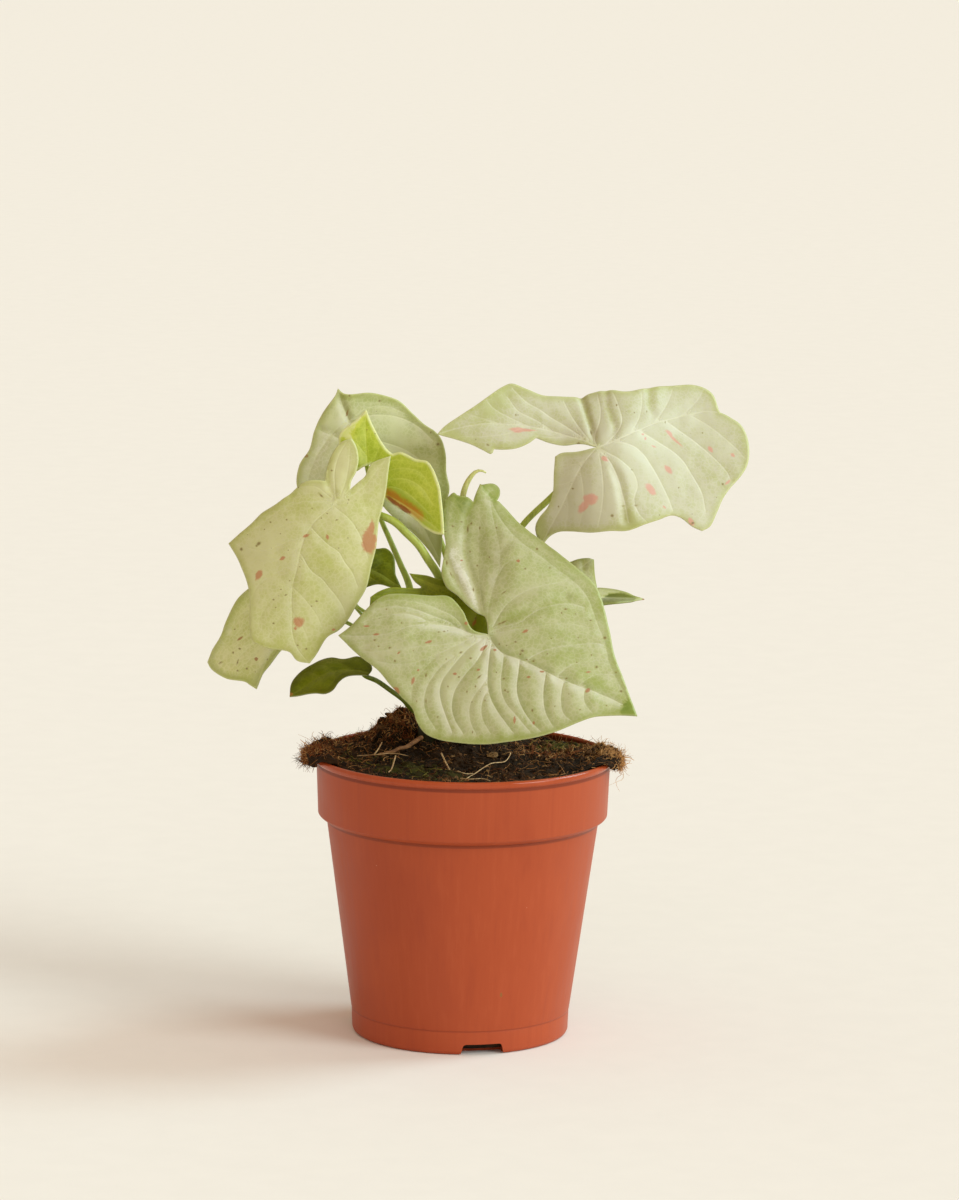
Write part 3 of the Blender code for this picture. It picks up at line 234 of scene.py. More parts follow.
# The stems: the foot's (across, back) from the pot's axis, and the stalks. Each stalk has its
# leaf, or None for the rolled new leaf, the knot where it meets the blade, the side of the blade
# that it ends at (-1 behind it, 1 in front of it), and (across, up, near, radius) rows going up.
STEMS = {
    "stem_front": {"at": (2, 13), "stalks": [
    {"leaf": "leaf_front", "side": -1, "knot": (8.4, 160.6), "path": rows(4, 2,121,-13,2.8, 2.5,130,-10,2.3,
        4.5,143,2,1.9, 7,153,17,1.6)},
    {"leaf": "leaf_small", "side": -1, "knot": (-40.2, 146.2), "path": rows(4, 0,121,-13,1.8, -8,125,-8,1.4,
        -20.3,130.7,1,1.1, -24.7,135.1,4,1, -29.5,138.6,6,1, -34.8,142.3,7,1)},
    {"leaf": "leaf_tucked", "side": -1, "knot": (2.4, 176.6), "path": rows(4, 1,121,-12,2, -.5,132,-9,1.5,
        0,150,-2,1.2, 1,166,3,1.1)},
    {"leaf": None, "path": rows(4, 2,121,-13,2.2, -1,137,-11,1.7, -4,165,-8,1.4, -3.8,195,-6,1.3,
        -1.9,215,-5,1.25, -1.1,219.8,-5,1.2, .2,223.3,-5,1.1, 1.9,226,-5,.9, 3.6,227.6,-5,.7, 5.6,228,-5,.5,
        7.5,227.1,-5,.3)}]},
    "stem_left": {"at": (-15, 20), "stalks": [
    {"leaf": "leaf_left", "side": -1, "knot": (-51.6, 213.4), "path": rows(4, -14.5,123,-20,2.8,
        -13.2,132,-15,2.3, -9.5,150,-6,2, -8.4,170,1,1.8, -10.2,183.7,4.5,1.7, -15.4,192.3,5,1.65,
        -19.1,197.8,5,1.6, -24.2,202.8,5,1.6, -28.4,206.7,4.5,1.55, -33.4,209.1,4,1.5, -42,211.5,3,1.4)},
    {"leaf": "leaf_upper_left", "side": -1, "knot": (-46.4, 246.2), "path": rows(4, -15.5,124,-21,2.4,
        -18.2,150,-15,1.7, -22.5,181.1,-12,1.4, -26.3,190.2,-13,1.2, -30.5,199.8,-15,1.1, -34.4,208.7,-17,1,
        -38.2,222,-21,1, -41.5,235,-24,.9)},
    {"leaf": "leaf_young", "side": -1, "knot": (-36.6, 220), "path": rows(4, -15,124,-20,2, -19,134,-15,1.4,
        -28,155,-7,.9, -39.3,169.7,-2,.7, -43.3,172.6,-3,.7, -49,181,-4,.7, -48,194,-6.5,.7,
        -41.5,208,-7,.7)},
    {"leaf": "leaf_low_left", "side": -1, "knot": (-64.8, 171), "path": rows(4, -15.5,124.5,-20,1.8,
        -20.5,135,-18,1.3, -33,154.5,-12,1, -45,164.7,-9,.8, -48,166.2,-9.5,.8, -56,168.5,-12,.8)},
    {"leaf": "leaf_mid", "side": -1, "knot": (-47, 188.4), "path": rows(4, -15.5,125,-21,1.8,
        -24,141,-21,1.2, -33,158,-20,.8, -40.8,168.6,-21,.7, -45,174,-23,.7, -47,181,-25,.7)}]},
    "stem_right": {"at": (14, 19), "stalks": [
    {"leaf": "leaf_right", "side": -1, "knot": (50.6, 237), "path": rows(4, 14,121,-19,2.8, 12.5,142,-14,2,
        14,172,-10,1.6, 18,196,-8,1.4, 22,205.6,-8,1.3, 34.2,218.3,-9,1.3, 44,229,-9,1.2)},
    {"leaf": "leaf_behind", "side": -1, "knot": (35.2, 180.4), "path": rows(4, 14,121,-20,2.2,
        19,146,-21,1.5, 28,170,-24,1.1)},
    {"leaf": "leaf_back_right", "side": 1, "knot": (24.6, 169.6), "path": rows(4, 15,121,-21,2.2,
        17,140,-26,1.5, 20,158,-31,1.2)},
    {"leaf": "leaf_back_left", "side": 1, "knot": (-34.6, 234.6), "path": rows(4, 13,121,-21,2.2,
        6,142,-22,1.5, -2,165,-24,1.3, -6,186,-27,1.2, -13,206,-32,1.1, -26,225,-38,1)}]},
}

# What is drawn on each blade, at seen places in mm.
# veins: (strength, points). folds: (depth, width, points), a valley in the blade.
# blushes and specks: (across, up, half length, half width, turn in degrees).
# tones: (across, up, reach across, reach up, turn, amount), greener above 0 and paler below it. A few tones
# and patches are painted light and shade, noted where they stand.
# patches: (amount, depth, outline), a tone with a sharp edge, pressed back by its depth.
MARKS = {}
MARKS["leaf_front"] = {
    "veins": lines(1,
    (1, 9.2,162, 11.2,158.5, 15,154.5, 20.7,152.4, 27,149.9, 33.3,146.6, 40,143.6, 49.5,140.2, 59.4,136.5,
    63,134.6),
    (1, 8.5,161.3, 2.4,162.1, -2.8,164.4, -8,165.3, -15.8,165.8, -22,164.9, -28.9,162.2, -36,160.8,
    -44,160.5, -49,160.7),
    (.3, 9,163.5, 9.1,170.4, 9.8,175.5, 10.8,180, 12.5,185, 13.5,190, 13.6,195, 12.5,201, 11,207, 9.8,213,
    9,219),
    (.9, 10.5,158.5, 9.8,152.5, 9.3,146.3, 9.4,140.5, 11,135, 13.6,130.4, 16.4,126.6, 19.5,122.5),
    (.55, 15.6,154.2, 15.2,149, 14.6,143.5, 15.3,137.5, 17.5,133, 20.4,129.8, 24,125.5, 26.5,122.8),
    (.9, 22,151.8, 21.5,146.5, 21,142, 21.2,138, 22.3,134.3, 24.4,130.2, 27.2,126.4, 30.5,123.2),
    (.8, 32.6,147, 32.3,144, 31.8,140.6, 31.7,137, 32,133.4, 33.2,129.3, 35.5,125.3),
    (.6, 40,143.7, 38.9,139, 38.8,134.5, 40,130, 43,127.3),
    (.5, 48.5,140.6, 47.9,137.5, 48.6,134, 51,131),
    (.9, 7,160, 2,156.6, -2.7,151.5, -6.2,147, -8.8,143, -9.8,139, -9.4,135, -8.2,131, -6.7,127,
    -4.8,122.5),
    (.9, 8.8,160, 6.8,154.5, 4.2,150.3, 1.6,147.2, -1.4,143.2, -3.6,139.4, -4.7,135.4, -4.9,131.5, -3.6,127,
    -.6,122),
    (.55, 9.3,144.5, 6.8,140.5, 4.2,137, 2.6,133.5, 2.2,129.5, 3.2,125, 5,121.5),
    (.5, 9.6,139.5, 7.6,135.5, 7,130.5, 8.2,126, 10.6,122),
    (.8, -3.5,164.6, -6.7,167, -10.6,168.4, -15,169.8, -19.3,171.5, -25.4,172.7, -30.6,172.6, -35,171.4),
    (.7, -7,165.5, -11,166.5, -15,167, -18.5,168.5, -23.7,169.8, -29,169.6, -34.6,168.4, -39,167),
    (.5, 0,163.8, -4,168.5, -9,171.2, -16,173.7, -24,175.2, -31,175.3),
    (.7, 3,160.3, -2,158, -6.5,155.6, -11,153.8, -16,151.5, -20,150, -25.4,149.4, -30,149.5, -34,150.2),
    (.5, -1,158.8, -8,157.6, -15,157, -22,156.1, -29,155, -36,154.2, -41,154.2),
    (.35, -12.5,165.7, -19,162.5, -26,159.5, -33,157.6, -40,156.6),
    (.6, -4.5,152.6, -9,149, -12.6,144.5, -15.3,139, -16,133.5, -14.6,128.5, -11.5,123.5),
    (.45, -10,153.9, -14.5,149.5, -18.5,144.5, -21,139.5, -21,134.5),
    (.7, 11,165.5, 14,170.5, 17,174.6, 20,177.2, 24.7,180, 31.4,182, 37.2,183.3, 41,184.8),
    (.8, 9.8,163, 16,165.5, 21.5,166.8, 26.5,170.5, 30,172.5, 36,174.3, 42,174.9, 47,173.8),
    (.4, 10,162, 17,163.5, 24,164.6, 30,165.5, 36,166.4, 43,166.6, 49.5,165.3),
    (.8, 25,151.5, 27.5,153.6, 31,155.3, 35,156.6, 40,157.7, 47,158.6, 52.8,158.9, 55.5,158.2),
    (.6, 37,145.3, 41,148.8, 45,150.7, 50.5,151.6, 54,152.2, 57,152.6),
    (.5, 46,141.8, 50,144.8, 54,146.4, 59,146.6),
    (.4, 9.5,216, 13,209.5, 17.5,203.5, 22,199.2, 26.5,196, 31,192.8, 36,189, 42,184.6, 46.5,180.5,
    49.5,176, 51.5,170.5, 53.2,165.5, 55.4,160.5, 56.6,156, 57.8,151, 60.2,145.6, 62.8,141.3, 65.2,136.2),
    (.5, 12.4,184.5, 15,189.3, 19,192.3, 24,194.6),
    (.3, 13.6,195, 17,199, 20,200.8),
    (.2, 8.6,166, 6.5,176, 5.3,186, 4.9,196, 5.2,206, 5.5,214)),
    "folds": lines(2,
    (.7, 1.8, 8.2,164, 6,171.5, 4.7,177.2, 3.4,182, 1.9,186, .4,190.5, -.6,196, -.6,203, .4,210, 2.4,215),
    (.6, 1.6, 6,170, 2,175.5, -2,180.5, -5,185.5, -7.5,191.5),
    (.7, 1.8, 9.6,164, 15.3,167.6, 20,169.8, 25.6,173, 29.8,174.6, 35,176.8, 40,177.6)),
    "blushes": rows(5, -35.5,161.3,1.5,.5,8, -14.6,158.5,1.7,.65,18, 7.4,156.3,2.2,.7,38,
    -20.6,142.6,.75,1.9,-18, 12,155.6,.8,.5,0, .4,166.2,.8,.8,0, 24.2,163.3,1.5,.65,25, 49.5,147,1.2,.4,10,
    49.4,139.6,1.2,.9,30, 20.4,127,.5,1.6,0, 25.8,144.6,1,.5,0, 31,147,1,.5,0, 5.6,147.3,.8,.45,20,
    -1.8,191.3,.7,.5,0, 20.8,191.6,.9,.8,0, 28,126.2,.6,.9,0, -18.5,147,.5,.6,0, -3.8,145.6,.9,.6,0,
    -26.4,153.8,.9,.4,45, -39.3,164.4,1.4,.5,0, -27,138.6,1.2,1.8,30),
    "specks": rows(5, 15.3,167.2,1.8,.45,28, 13.6,166.4,.7,.5,20, 15.5,178.9,1.2,.3,38, -7.7,190.6,.4,1.3,0,
    .6,204.3,.45,1.4,0, -5.5,205.4,.6,.6,0, -6,186,.3,1.2,25, 23,155.3,.8,.6,0, 22.2,153.9,.35,.4,0,
    27.5,151.3,.6,.55,0, 15.8,144,.55,.5,0, 52.7,149,.6,.5,0, 55.8,161,.8,.6,10, 46.4,131.5,.5,.4,0,
    27.4,131.2,.4,.7,0, 16.3,139.3,.5,.35,40, 17.6,138.4,.4,.3,0, 40,172.4,.8,.4,10, 38.4,170.8,.4,.35,0,
    50,168,.5,.35,0, 44,170.6,.35,.3,0, -30,155.9,.6,.4,15, -34.4,156.4,.5,.35,0, -27.8,150.6,.4,.5,0,
    -8.4,162.8,.6,.35,0, -1.6,154.4,.8,.45,30, 2.4,152,.7,.4,15, 5.9,144.4,1.4,.35,45, -2.2,144.5,.5,.4,30,
    -15.4,144.9,.4,.95,-10, -15.2,134.4,.25,1.2,0, -18.9,134.3,.3,.5,0, -6.5,140.4,.35,.5,0,
    1.2,138.4,.35,.6,0, 4.5,140.6,.35,.5,0, 3.6,122,.3,.6,0, -36,158.9,.6,.4,0, -10.5,162.4,.4,.3,0,
    -7.4,151.6,.3,.45,0, 20.3,158.7,.7,.35,0, 13.8,158,.4,.5,0, 30.2,168.9,.3,.3,0, 60.6,147,.45,.35,0,
    62.8,139.6,.6,.45,0, 40.8,144.4,.6,.3,20, 33,154.2,.35,.3,0, 44.8,151,.35,.3,0, 24.8,151.9,.5,.35,0,
    28.2,196.7,.5,.45,0, 12,205,.4,.4,0, 4.6,189.6,.45,.5,0, 23.6,188.4,.5,.4,0, 33.4,189,.5,.3,0,
    1.6,195.2,.3,.6,0, 3,180,.25,1,0, 2,206.6,.4,.7,-20, -2,207.2,.6,.25,0, -8.4,203.2,.7,.25,0,
    5.4,204.8,.3,.7,0, -20.6,154.8,.3,.3,0, -25.4,166,.35,.3,0, -31.5,171.6,.4,.3,0, 9.4,193,.25,.5,0,
    34.4,160.4,.35,.3,0, 45.2,161,.3,.3,0, 50.6,154,.35,.35,0, 12.8,146.5,.3,.4,0, 8.4,135,.25,.5,0,
    -10.4,128,.3,.4,0, 36.4,133,.3,.35,0, 42,138,.3,.3,0, 57,133.6,.35,.3,0),
    "tones": rows(6, -2,134,13,8,0,-.6, -5,205,7,9,0,-.4, 64,132,5,2.6,-20,.8, 57.5,149,3.2,14,-20,.4,
    52,170,2.6,10,-14,.4, 37,189,8,2.4,-38,.4, 33,173,11,2.2,24,.8, 18,168.6,6,1.6,26,.9,
    54,141.5,7,1.8,-22,.9, 38,152.5,9,2.6,8,.5, -2.5,212,3.6,5.5,0,1.1, -4.5,218,3.6,1.8,0,2,
    2,215.5,2,3,0,.8, 10,211,6,2.2,-45,.6, -3,188,2,13,26,-1, 1.5,180,1.6,9,24,-1.1, -8,195,1.2,6,10,-.7,
    -9.4,187,1,4,0,.9, 5,157,9,4,20,-1.1, 10,150,3,13,0,-1, -4,148,3.4,12,-30,-.8, -33,154,9,4,0,-.4,
    -15,150,4,4,0,.6, -14,128,5,5,0,.6, 15,119.5,30,2,4,.6, -43,153,5,2.5,-50,.5, -30,176,14,1.6,0,.6,
    12,134,1.4,5,30,.7, 23,131,1.2,6,30,.6, 33.4,134,1.2,6,0,.6, -.5,145,1.5,6,-30,.5, 13.5,150,2,4,0,.4,
    43,135,12,5,-12,-.35, 60,135,5,1.2,-24,-1, 25,180,12,1.8,20,-.5, -22,169.5,12,1.4,-6,-.4,
    27,205,11,1,-38,-.7, 48,186,6,.9,-50,-.7, 9.6,220.4,1.8,1.3,0,-1),
    "patches": lines(2,
    (-1.5, 0, 7.4,221.8, 9,222.8, 11,222.8, 12.8,221.4, 13,219.2, 12.1,217.6, 11.4,217.2, 10.4,218.2,
    9,219.8),
    (3, .9, 5.7,222.8, 8.4,223.9, 11.1,223.9, 13.9,222.2, 14.2,219, 12.9,216.4, 11.6,215.8, 10.2,216.9,
    8.5,218.6, 6.7,220.6),
    (1.5, 0, -4.8,219.4, -3.8,218.6, -1.7,218.6, .7,217.8, 2.4,216, 1.4,210.9, -.3,209.5, -3.4,212.6,
    -4.4,215.3),
    # This patch and the pale tones at (-3, 188), (1.5, 180) and (-8, 195) paint a highlight on the lit wall
    # of the fold that runs up from the knot.
    (-1.7, 0, -6.4,197, -3.4,197.6, -1.4,192.6, .6,187, 3.2,180, 5.4,173, 7.8,165.4, 5,168, 1.6,174.6,
    -1.4,179.8, -4.6,186, -6.8,192),
    (3.4, 0, 62.6,131.4, 64,135, 66.7,137, 70.6,128.7, 68,127.8, 63.4,128.6))}
MARKS["leaf_left"] = {
    "veins": lines(1,
    (1, -51.5,214.3, -55,211.5, -60,207, -64,201, -66,194.5, -67.4,187, -68.9,181.5, -69.4,175.7,
    -69.2,168.7, -69.1,162, -67.4,156, -63.5,150.6),
    (.9, -65.5,193, -61.7,186.8, -57.1,183.3, -54.8,180.4, -51.9,177, -49,172.5, -47.8,169),
    (.9, -62,204.4, -60,202.2, -54.8,197.2, -50.7,194.3, -48.4,190.4, -45.5,186.5, -43.2,181),
    (.6, -52.5,212.5, -47,208, -43.2,203, -40.8,197.5, -39,192),
    (.7, -51.5,214.3, -46.5,216.6, -40.4,221.4, -36,227, -32.6,231.6),
    (.8, -51.5,214.3, -48.6,217.4, -46.6,219.6),
    (.7, -64.4,200.5, -70,198.8, -76,196, -82,194.6, -90,196.6),
    (.5, -66.5,190, -72,187.5, -78,184, -83,180, -84.8,176),
    (.5, -68.5,182, -73,179, -78,174, -81.5,168, -83,162),
    (.45, -69.3,173, -73,169, -76.5,164, -78.5,159),
    (.5, -69,180, -64,175, -59.5,169, -57,163.5),
    (.4, -69.2,170, -65.5,165, -62.5,158.5),
    (.6, -52,214.5, -58,214.9, -66,214.2, -73,211.5, -80,206.5, -88,200),
    (.6, -53,215.5, -56.5,218.3, -60,220.6, -66,220.4),
    (.8, -51.8,215, -52.4,220, -52.6,227, -51,233, -48,238.6),
    (.5, -50,217.6, -48.2,223, -47,230, -46.6,237),
    (.35, -64.5,199.5, -70,193, -77,190.5, -85,190),
    (.3, -60.5,206.5, -68,206.5, -76,203, -84,198.5)),
    "folds": lines(2,
    (.8, 1.8, -52.5,215.6, -58,216.6, -64,217.4, -70,217.2),
    (.7, 1.4, -51.6,216, -54.6,220, -55.6,226, -55,232)),
    "blushes": rows(5, -38.7,198.9,3,5.6,3, -37.9,203.6,1.3,4,-3, -63.9,200.8,1.9,.7,22,
    -73,191.6,1.4,.8,30, -82.4,184.8,2.7,1.2,62, -66.4,165.9,2.4,2.2,0, -67.8,163.2,.8,.8,0,
    -52.6,163,.9,.7,0, -55.3,200.4,.6,1.1,20),
    "specks": rows(5, -82.4,197.3,.9,.55,35, -83.2,196.4,.5,.5,0, -89.4,195,.6,.7,0, -58,217.2,1.3,.4,-45,
    -51.7,207.3,.6,.35,15, -55.5,209.9,.4,.3,0, -71.7,176.8,.6,.3,20, -76.5,174.8,.5,.35,0,
    -59.4,174.5,.6,.4,0, -61.4,172.4,.4,.35,0, -76.5,165.3,.5,.45,0, -73.6,179,.4,.3,0, -53.8,227.2,.5,.4,0,
    -71.4,207,.4,.35,0, -61.5,211.8,.3,.3,0, -57.8,208,.3,.3,0, -63.4,155,.6,.4,0, -66.8,156.4,.4,.3,0,
    -47,215.4,.4,.3,0, -66.2,188.2,.3,.3,0, -77.9,206,.4,.3,0, -70.2,182.6,.3,.3,0, -75.6,171.6,.3,.3,0,
    -48.6,217.4,.4,.25,0),
    # The tones at (-84, 194) and (-47, 178) are painted light: they lighten where the blade turns from the
    # light.
    "tones": rows(6, -84,194,9,14,0,-1, -86,197,7,5,0,.3, -80,207.5,10,2.4,40,.6, -85.5,169,.9,10,0,-1.8,
    -62,220.6,6,1.8,-6,-.9, -32.6,222,1,11,-7,-1.5, -55,189,5,4.5,0,.35, -47,178,5,14,-20,-.6,
    -75,168,5,8,0,.2, -60,156,6,4,40,.5, -43.9,232,.9,7,4,-1.8, -48,204,9,5,0,-.35, -50,230,4,8,0,-1,
    -70,158,16,2.6,4,.3, -68.5,221,3,1.4,35,.8, -63,151.5,2.6,2.2,0,.4, -58,212.8,8,.9,4,.4,
    -76,200,6,4,0,-.2)}
MARKS["leaf_right"] = {
    "veins": lines(1,
    (1, 51.5,238, 56,239.5, 60,241.3, 64,243.2, 70,246, 74,247.8, 80,249.5, 88,251.5, 94,252.8, 98.6,252.6),
    (.9, 58,240.2, 63,239.6, 67,238, 70.5,234.8, 73,231, 76,226, 80,218, 82,213),
    (.8, 68,245, 74,241.5, 80.7,237.2, 85,233.5, 89,228, 93,221, 95,213),
    (.7, 78,249, 84,245, 91,240, 97,235, 103,229, 104.6,226),
    (.5, 88,251.3, 94,248, 101,243, 107,238, 110,234.5),
    (.6, 51.5,238, 53,232, 53.8,227, 54.3,221, 53.8,213, 52.5,206.5),
    (.8, 52,237.5, 56.5,232.5, 59.7,227, 62,220, 63.4,214.5, 64.6,208.5),
    (.7, 52.5,237.5, 60,233.5, 65.5,228.5, 67.8,223, 66.6,217, 68.5,211.5, 71,208.6),
    (.8, 51.5,238, 46,231, 41.5,222, 37.5,213, 33,204.5, 31,200.6),
    (.35, 47,232.5, 43,231, 38,230.6),
    (.35, 43.4,226, 40,223.6, 36,222.6),
    (.35, 45,229, 46.4,221, 46.6,213, 45,206.5),
    (.3, 40,218.6, 40.6,212, 39.6,206),
    (.9, 51.5,238, 47,240.3, 42,241.8, 36,243.5, 27,245.4, 17,246.6, 6,246.6, -4,244.8, -10,243),
    (.8, 46,241.5, 40,245.5, 34,249, 28,253, 22.7,256, 18,260.5),
    (.7, 48,241, 44,246, 40.5,251, 38,256),
    (.7, 34,244, 27,248.4, 20,252, 16,257),
    (.6, 24,246, 16,249.6, 10,253, 7.6,255.6),
    (.5, 14,246.6, 7,248.4, 0,250.4),
    (.5, 40,242.4, 33,241.6, 26,242.2),
    (.5, 24,245.6, 15,242.6, 6,241.6, -2,241.6),
    (.8, 51.5,238, 50.5,242, 52.3,248, 52.6,253, 51.4,258.6),
    (.8, 55,239.3, 60,245, 61.2,249, 59.4,255.5, 57.6,259.5),
    (.5, 64.5,243.6, 67.8,249.5, 69,255, 68.6,260.4),
    (.5, 74,247.8, 77.5,253, 80,258, 81,261.6),
    (.45, 84,250.3, 88,254, 91.5,258, 93,261.2)),
    "folds": lines(2,
    (1.4, 1.5, 50.4,238.8, 49.5,243.6, 48,248.5, 46.4,253.5, 45,257.6),
    (.8, 1.6, 57.4,241.5, 58.4,246, 57,250, 55.4,255, 54.6,260),
    (.8, 1.8, 57,231, 60.6,224, 62,216, 63,209),
    (.6, 1.8, 74,249.5, 72.6,254, 71.6,261)),
    "blushes": rows(5, 49.4,217.2,3,2.3,10, 46.9,214.4,3.5,1.6,52, 21.6,244.4,5.8,.7,-3, 20,244.3,2.6,1.1,0,
    72.9,221.3,3.1,1.5,-52, 79.8,229.1,2.3,1.1,-50, 81.8,241.5,5.2,.5,-43, 80.2,243.9,1.6,.5,-50,
    96.4,237.5,1.7,.8,-50, 105.3,235.4,1.1,.8,-30, 89.3,208.6,2,.9,-60, 54.5,233.4,1.7,1,-35,
    103.6,224.6,1.7,.6,45, 69.5,243.5,.7,.4,0, 70.6,241.8,.5,.7,0, 78.4,214.2,1.1,.4,-40,
    74,238.6,1.2,.35,-25),
    "specks": rows(5, 48.8,244.2,.5,1.2,15, 62.4,214.7,.6,.4,0, 67.3,214.8,.7,.5,0, 57.9,210.6,.6,.55,0,
    59,255,.4,.5,0, 78.3,248.3,.3,.6,0, 42.3,221.2,.5,.4,0, 44,239.4,.9,.6,0, 71,252.6,.25,.6,0,
    101.6,223.8,.5,.5,0, 65.3,229,.4,.3,0, 90,208,.6,.5,0, 19,250.4,.4,.5,0, 8,238.2,.8,.5,-30,
    93,244,.3,.3,0, 36.6,214,.3,.4,0, 84,222,.3,.3,0, 66,252,.3,.3,0),
    "tones": rows(6, 48,213,13,9,0,-.9, 52,205.5,24,2.6,0,1, 64.5,210,3.2,6,14,2.2, 70,208,9,2.2,18,.6,
    29.5,205,2.6,7,0,2, 31.5,200.5,3,2,0,1.6, 9,252.6,11,4.4,40,1.6, 17,260,5,2.6,0,.7, -8,243.5,5,3,0,1.5,
    6,239.6,16,1.8,-12,.9, 24,239.6,8,1.5,14,.7, 47.6,250,1.2,6,18,1.5, 57.2,248,1.4,7,16,.8,
    71.8,257,1,4,6,.7, 85,261,14,2,0,.6, 98,257,1.6,4,20,1.2, 110,238,1.8,8,0,.7, 100,231,10,1.3,-36,.6,
    98,226.5,6,1.3,-40,.6, 99.5,223,3,3,0,.5, 66,232,12,10,0,-.35, 82,240,18,8,0,-.3, 36,250,1,6,45,.5,
    42.6,250,.9,5,30,.6, 28,249,6,.9,-35,.4, 65,243,8,.8,24,-.8, 55,243,3,2.6,0,-.7, 68,213,1.4,3,20,-.6)}
MARKS["leaf_young"] = {
    "veins": lines(1,
    (.7, -38.5,220, -33,218, -26,214.5, -19,210, -13,205.6, -9.6,202.4),
    (.6, -36,219, -30,221, -24,219, -18,214, -13,208.5),
    (.6, -36,220.6, -30,224, -24,224.2, -18,221, -13,214),
    (.5, -37,221.6, -32,227, -26,228.6, -19,227.2, -14,221),
    (.5, -36.6,223, -31,231, -25,231.8, -19,230.4),
    (.7, -38.8,221, -39.6,229, -40.2,237, -40.6,245, -40.4,250.6),
    (.4, -39.2,226, -36.4,233, -34.6,238),
    (.4, -39.8,233, -43.4,237.6, -46,240.6)),
    "folds": lines(2,
    (-.8, 1.6, -47,241.5, -44.6,237, -43.6,231)),
    "blushes": rows(5, -29.6,215.4,3.4,.9,-36, -24.8,212.2,3.8,1,-35),
    "specks": [],
    "tones": rows(6, -26.4,214.6,8.4,2.6,-36,4.6, -19.6,210,3.6,2.4,-42,2.4, -30,219,2.6,3,0,.9,
    -12,206,2,5,0,.5, -33.8,240.6,.9,8,34,-1.3, -36,234,3,5,40,.5, -41,243,4,7,0,.8),
    "patches": lines(2,
    (-3.5, 0, -51.5,240.5, -50.9,242.4, -48.8,244.9, -45.2,247.6, -42.6,250, -40.5,252, -42.8,246.1,
    -44.6,243.7, -46.2,241.8, -45.4,239.7))}
MARKS["leaf_upper_left"] = {
    "veins": lines(1,
    (.9, -47.8,247.3, -43,241, -36,231, -28,220, -19,208, -11,193),
    (.8, -47.8,247.3, -38,249.6, -28,249, -20,245.5, -14,240),
    (.6, -42,240, -34,239, -25,236, -17,230.5, -11,224),
    (.5, -38,234, -29,230, -20,223, -12,213),
    (.8, -47.8,247.3, -53,243, -58,236, -62,228, -64,220),
    (.6, -50.5,239.8, -54,241.2, -58,242.8),
    (.5, -43.5,241.5, -48,235, -54,229, -58,220),
    (.6, -51.9,236.6, -55,231.2, -57,225),
    (.6, -47.6,248.4, -48.2,250.1, -49.7,253, -51.6,259.4),
    (.5, -46,248, -40,252.4, -32,253, -25,250.4)),
    "folds": lines(2,
    (.8, 1.4, -51.6,259.4, -50.6,255.4, -49.4,252.4, -47.8,248.4),
    (.5, 1.5, -50.4,240.4, -54,242.2, -58,243.4)),
    "blushes": rows(5, -64,232.8,.9,.9,0, -48,250.4,.5,1.6,-24),
    "specks": rows(5, -11.8,238.3,.7,.7,0, -47,257,.5,.5,0, -35.2,255.2,.6,.4,0, -14.6,243,.3,.5,0),
    # The tones at (-59, 234) and (-24, 209) are painted light: they lighten parts that lie in the shade of
    # the leaves before them.
    "tones": rows(6, -59,234,7,15,-12,-2.2, -9.6,224,2,18,4,1, -38,255.6,14,1,-6,1, -26,251.5,6,1.2,-38,1,
    -51,258,3.4,3,0,1, -60,243,2.4,12,-18,.6, -17,235.5,6,2,-16,.9, -28,243,1.8,10,0,-.7,
    -55,249,3,7,-20,.6, -24,209,13,8,-35,-2.8, -22,228,9,9,0,-.9, -60,226,4,5,0,-.2)}
MARKS["leaf_low_left"] = {
    "veins": lines(1,
    (.9, -64,172, -70,165, -76,156, -80.6,147, -83,140),
    (.6, -66,170, -74,170, -82,167.6, -90,162, -95.6,156, -99.6,152),
    (.6, -65,171, -72,174.5, -80,174.8, -88,170, -93.4,163),
    (.5, -69,166.6, -77,165.6, -85,161.4, -92,155, -98,148.4),
    (.5, -71,163.6, -79,161, -86,155.4, -92,149, -95.6,144.8),
    (.5, -74,159.4, -80.6,156, -86,150, -89.6,144.6),
    (.5, -65,172.6, -70,179.4, -78,181.4, -86,177.4),
    (.5, -73,160.8, -74.6,156.6, -76.6,151.6),
    (.4, -83,172.4, -90,166, -96,158),
    (.4, -80,169.6, -88,163.6, -95,153.6, -100.6,149.6)),
    "folds": [],
    "blushes": rows(5, -90,158.7,1.9,.5,36, -83.3,150.6,.9,.8,0),
    "specks": rows(5, -97.5,148.8,.8,.5,20, -90.6,149,.35,1.2,-15, -89.8,154.6,.6,.4,0, -92.4,153,.3,.5,0,
    -81.8,157.4,.5,.35,0, -92,162.6,.4,.3,0, -87,146.6,.4,.4,0, -90.6,145.6,.4,.3,0, -79,150.6,.3,.4,0),
    "tones": rows(6, -83,140.6,3,4,0,1.4, -93,142.8,9,1.6,-14,1, -77,151,2,6,-30,1.2,
    -100.6,148,2.4,2.4,0,.8, -91,171,2,9,-28,.8, -82,153,3,2.6,0,-.5, -88,163,8,1,38,.4,
    -96,154,2,5,-28,.2)}
MARKS["leaf_small"] = {
    "veins": lines(1,
    (.9, -38.6,145.6, -46,147.4, -54,146.4, -61,142.4, -66,138.6, -69.4,136),
    (.5, -45,147.4, -50,149.6, -55,149.6),
    (.5, -52,146.8, -57,148.6, -61,147),
    (.5, -58,144.4, -62.4,145.6, -65,144),
    (.5, -47,147.2, -50.4,144.4, -54,140.4),
    (.5, -54,146.2, -57.4,142.6, -60.6,139.2)),
    "folds": lines(2,
    (.5, 1.4, -42,147, -50,147.4, -58,144.2, -65,139.2)),
    "blushes": rows(5, -69.4,136.4,1,.9,30),
    "specks": [],
    "tones": rows(6, -52,150.6,16,1.5,4,-3, -59,139.6,6,2.4,12,-.8, -44,147.4,4,2,0,-.5, -68,140,2,3,0,.8)}
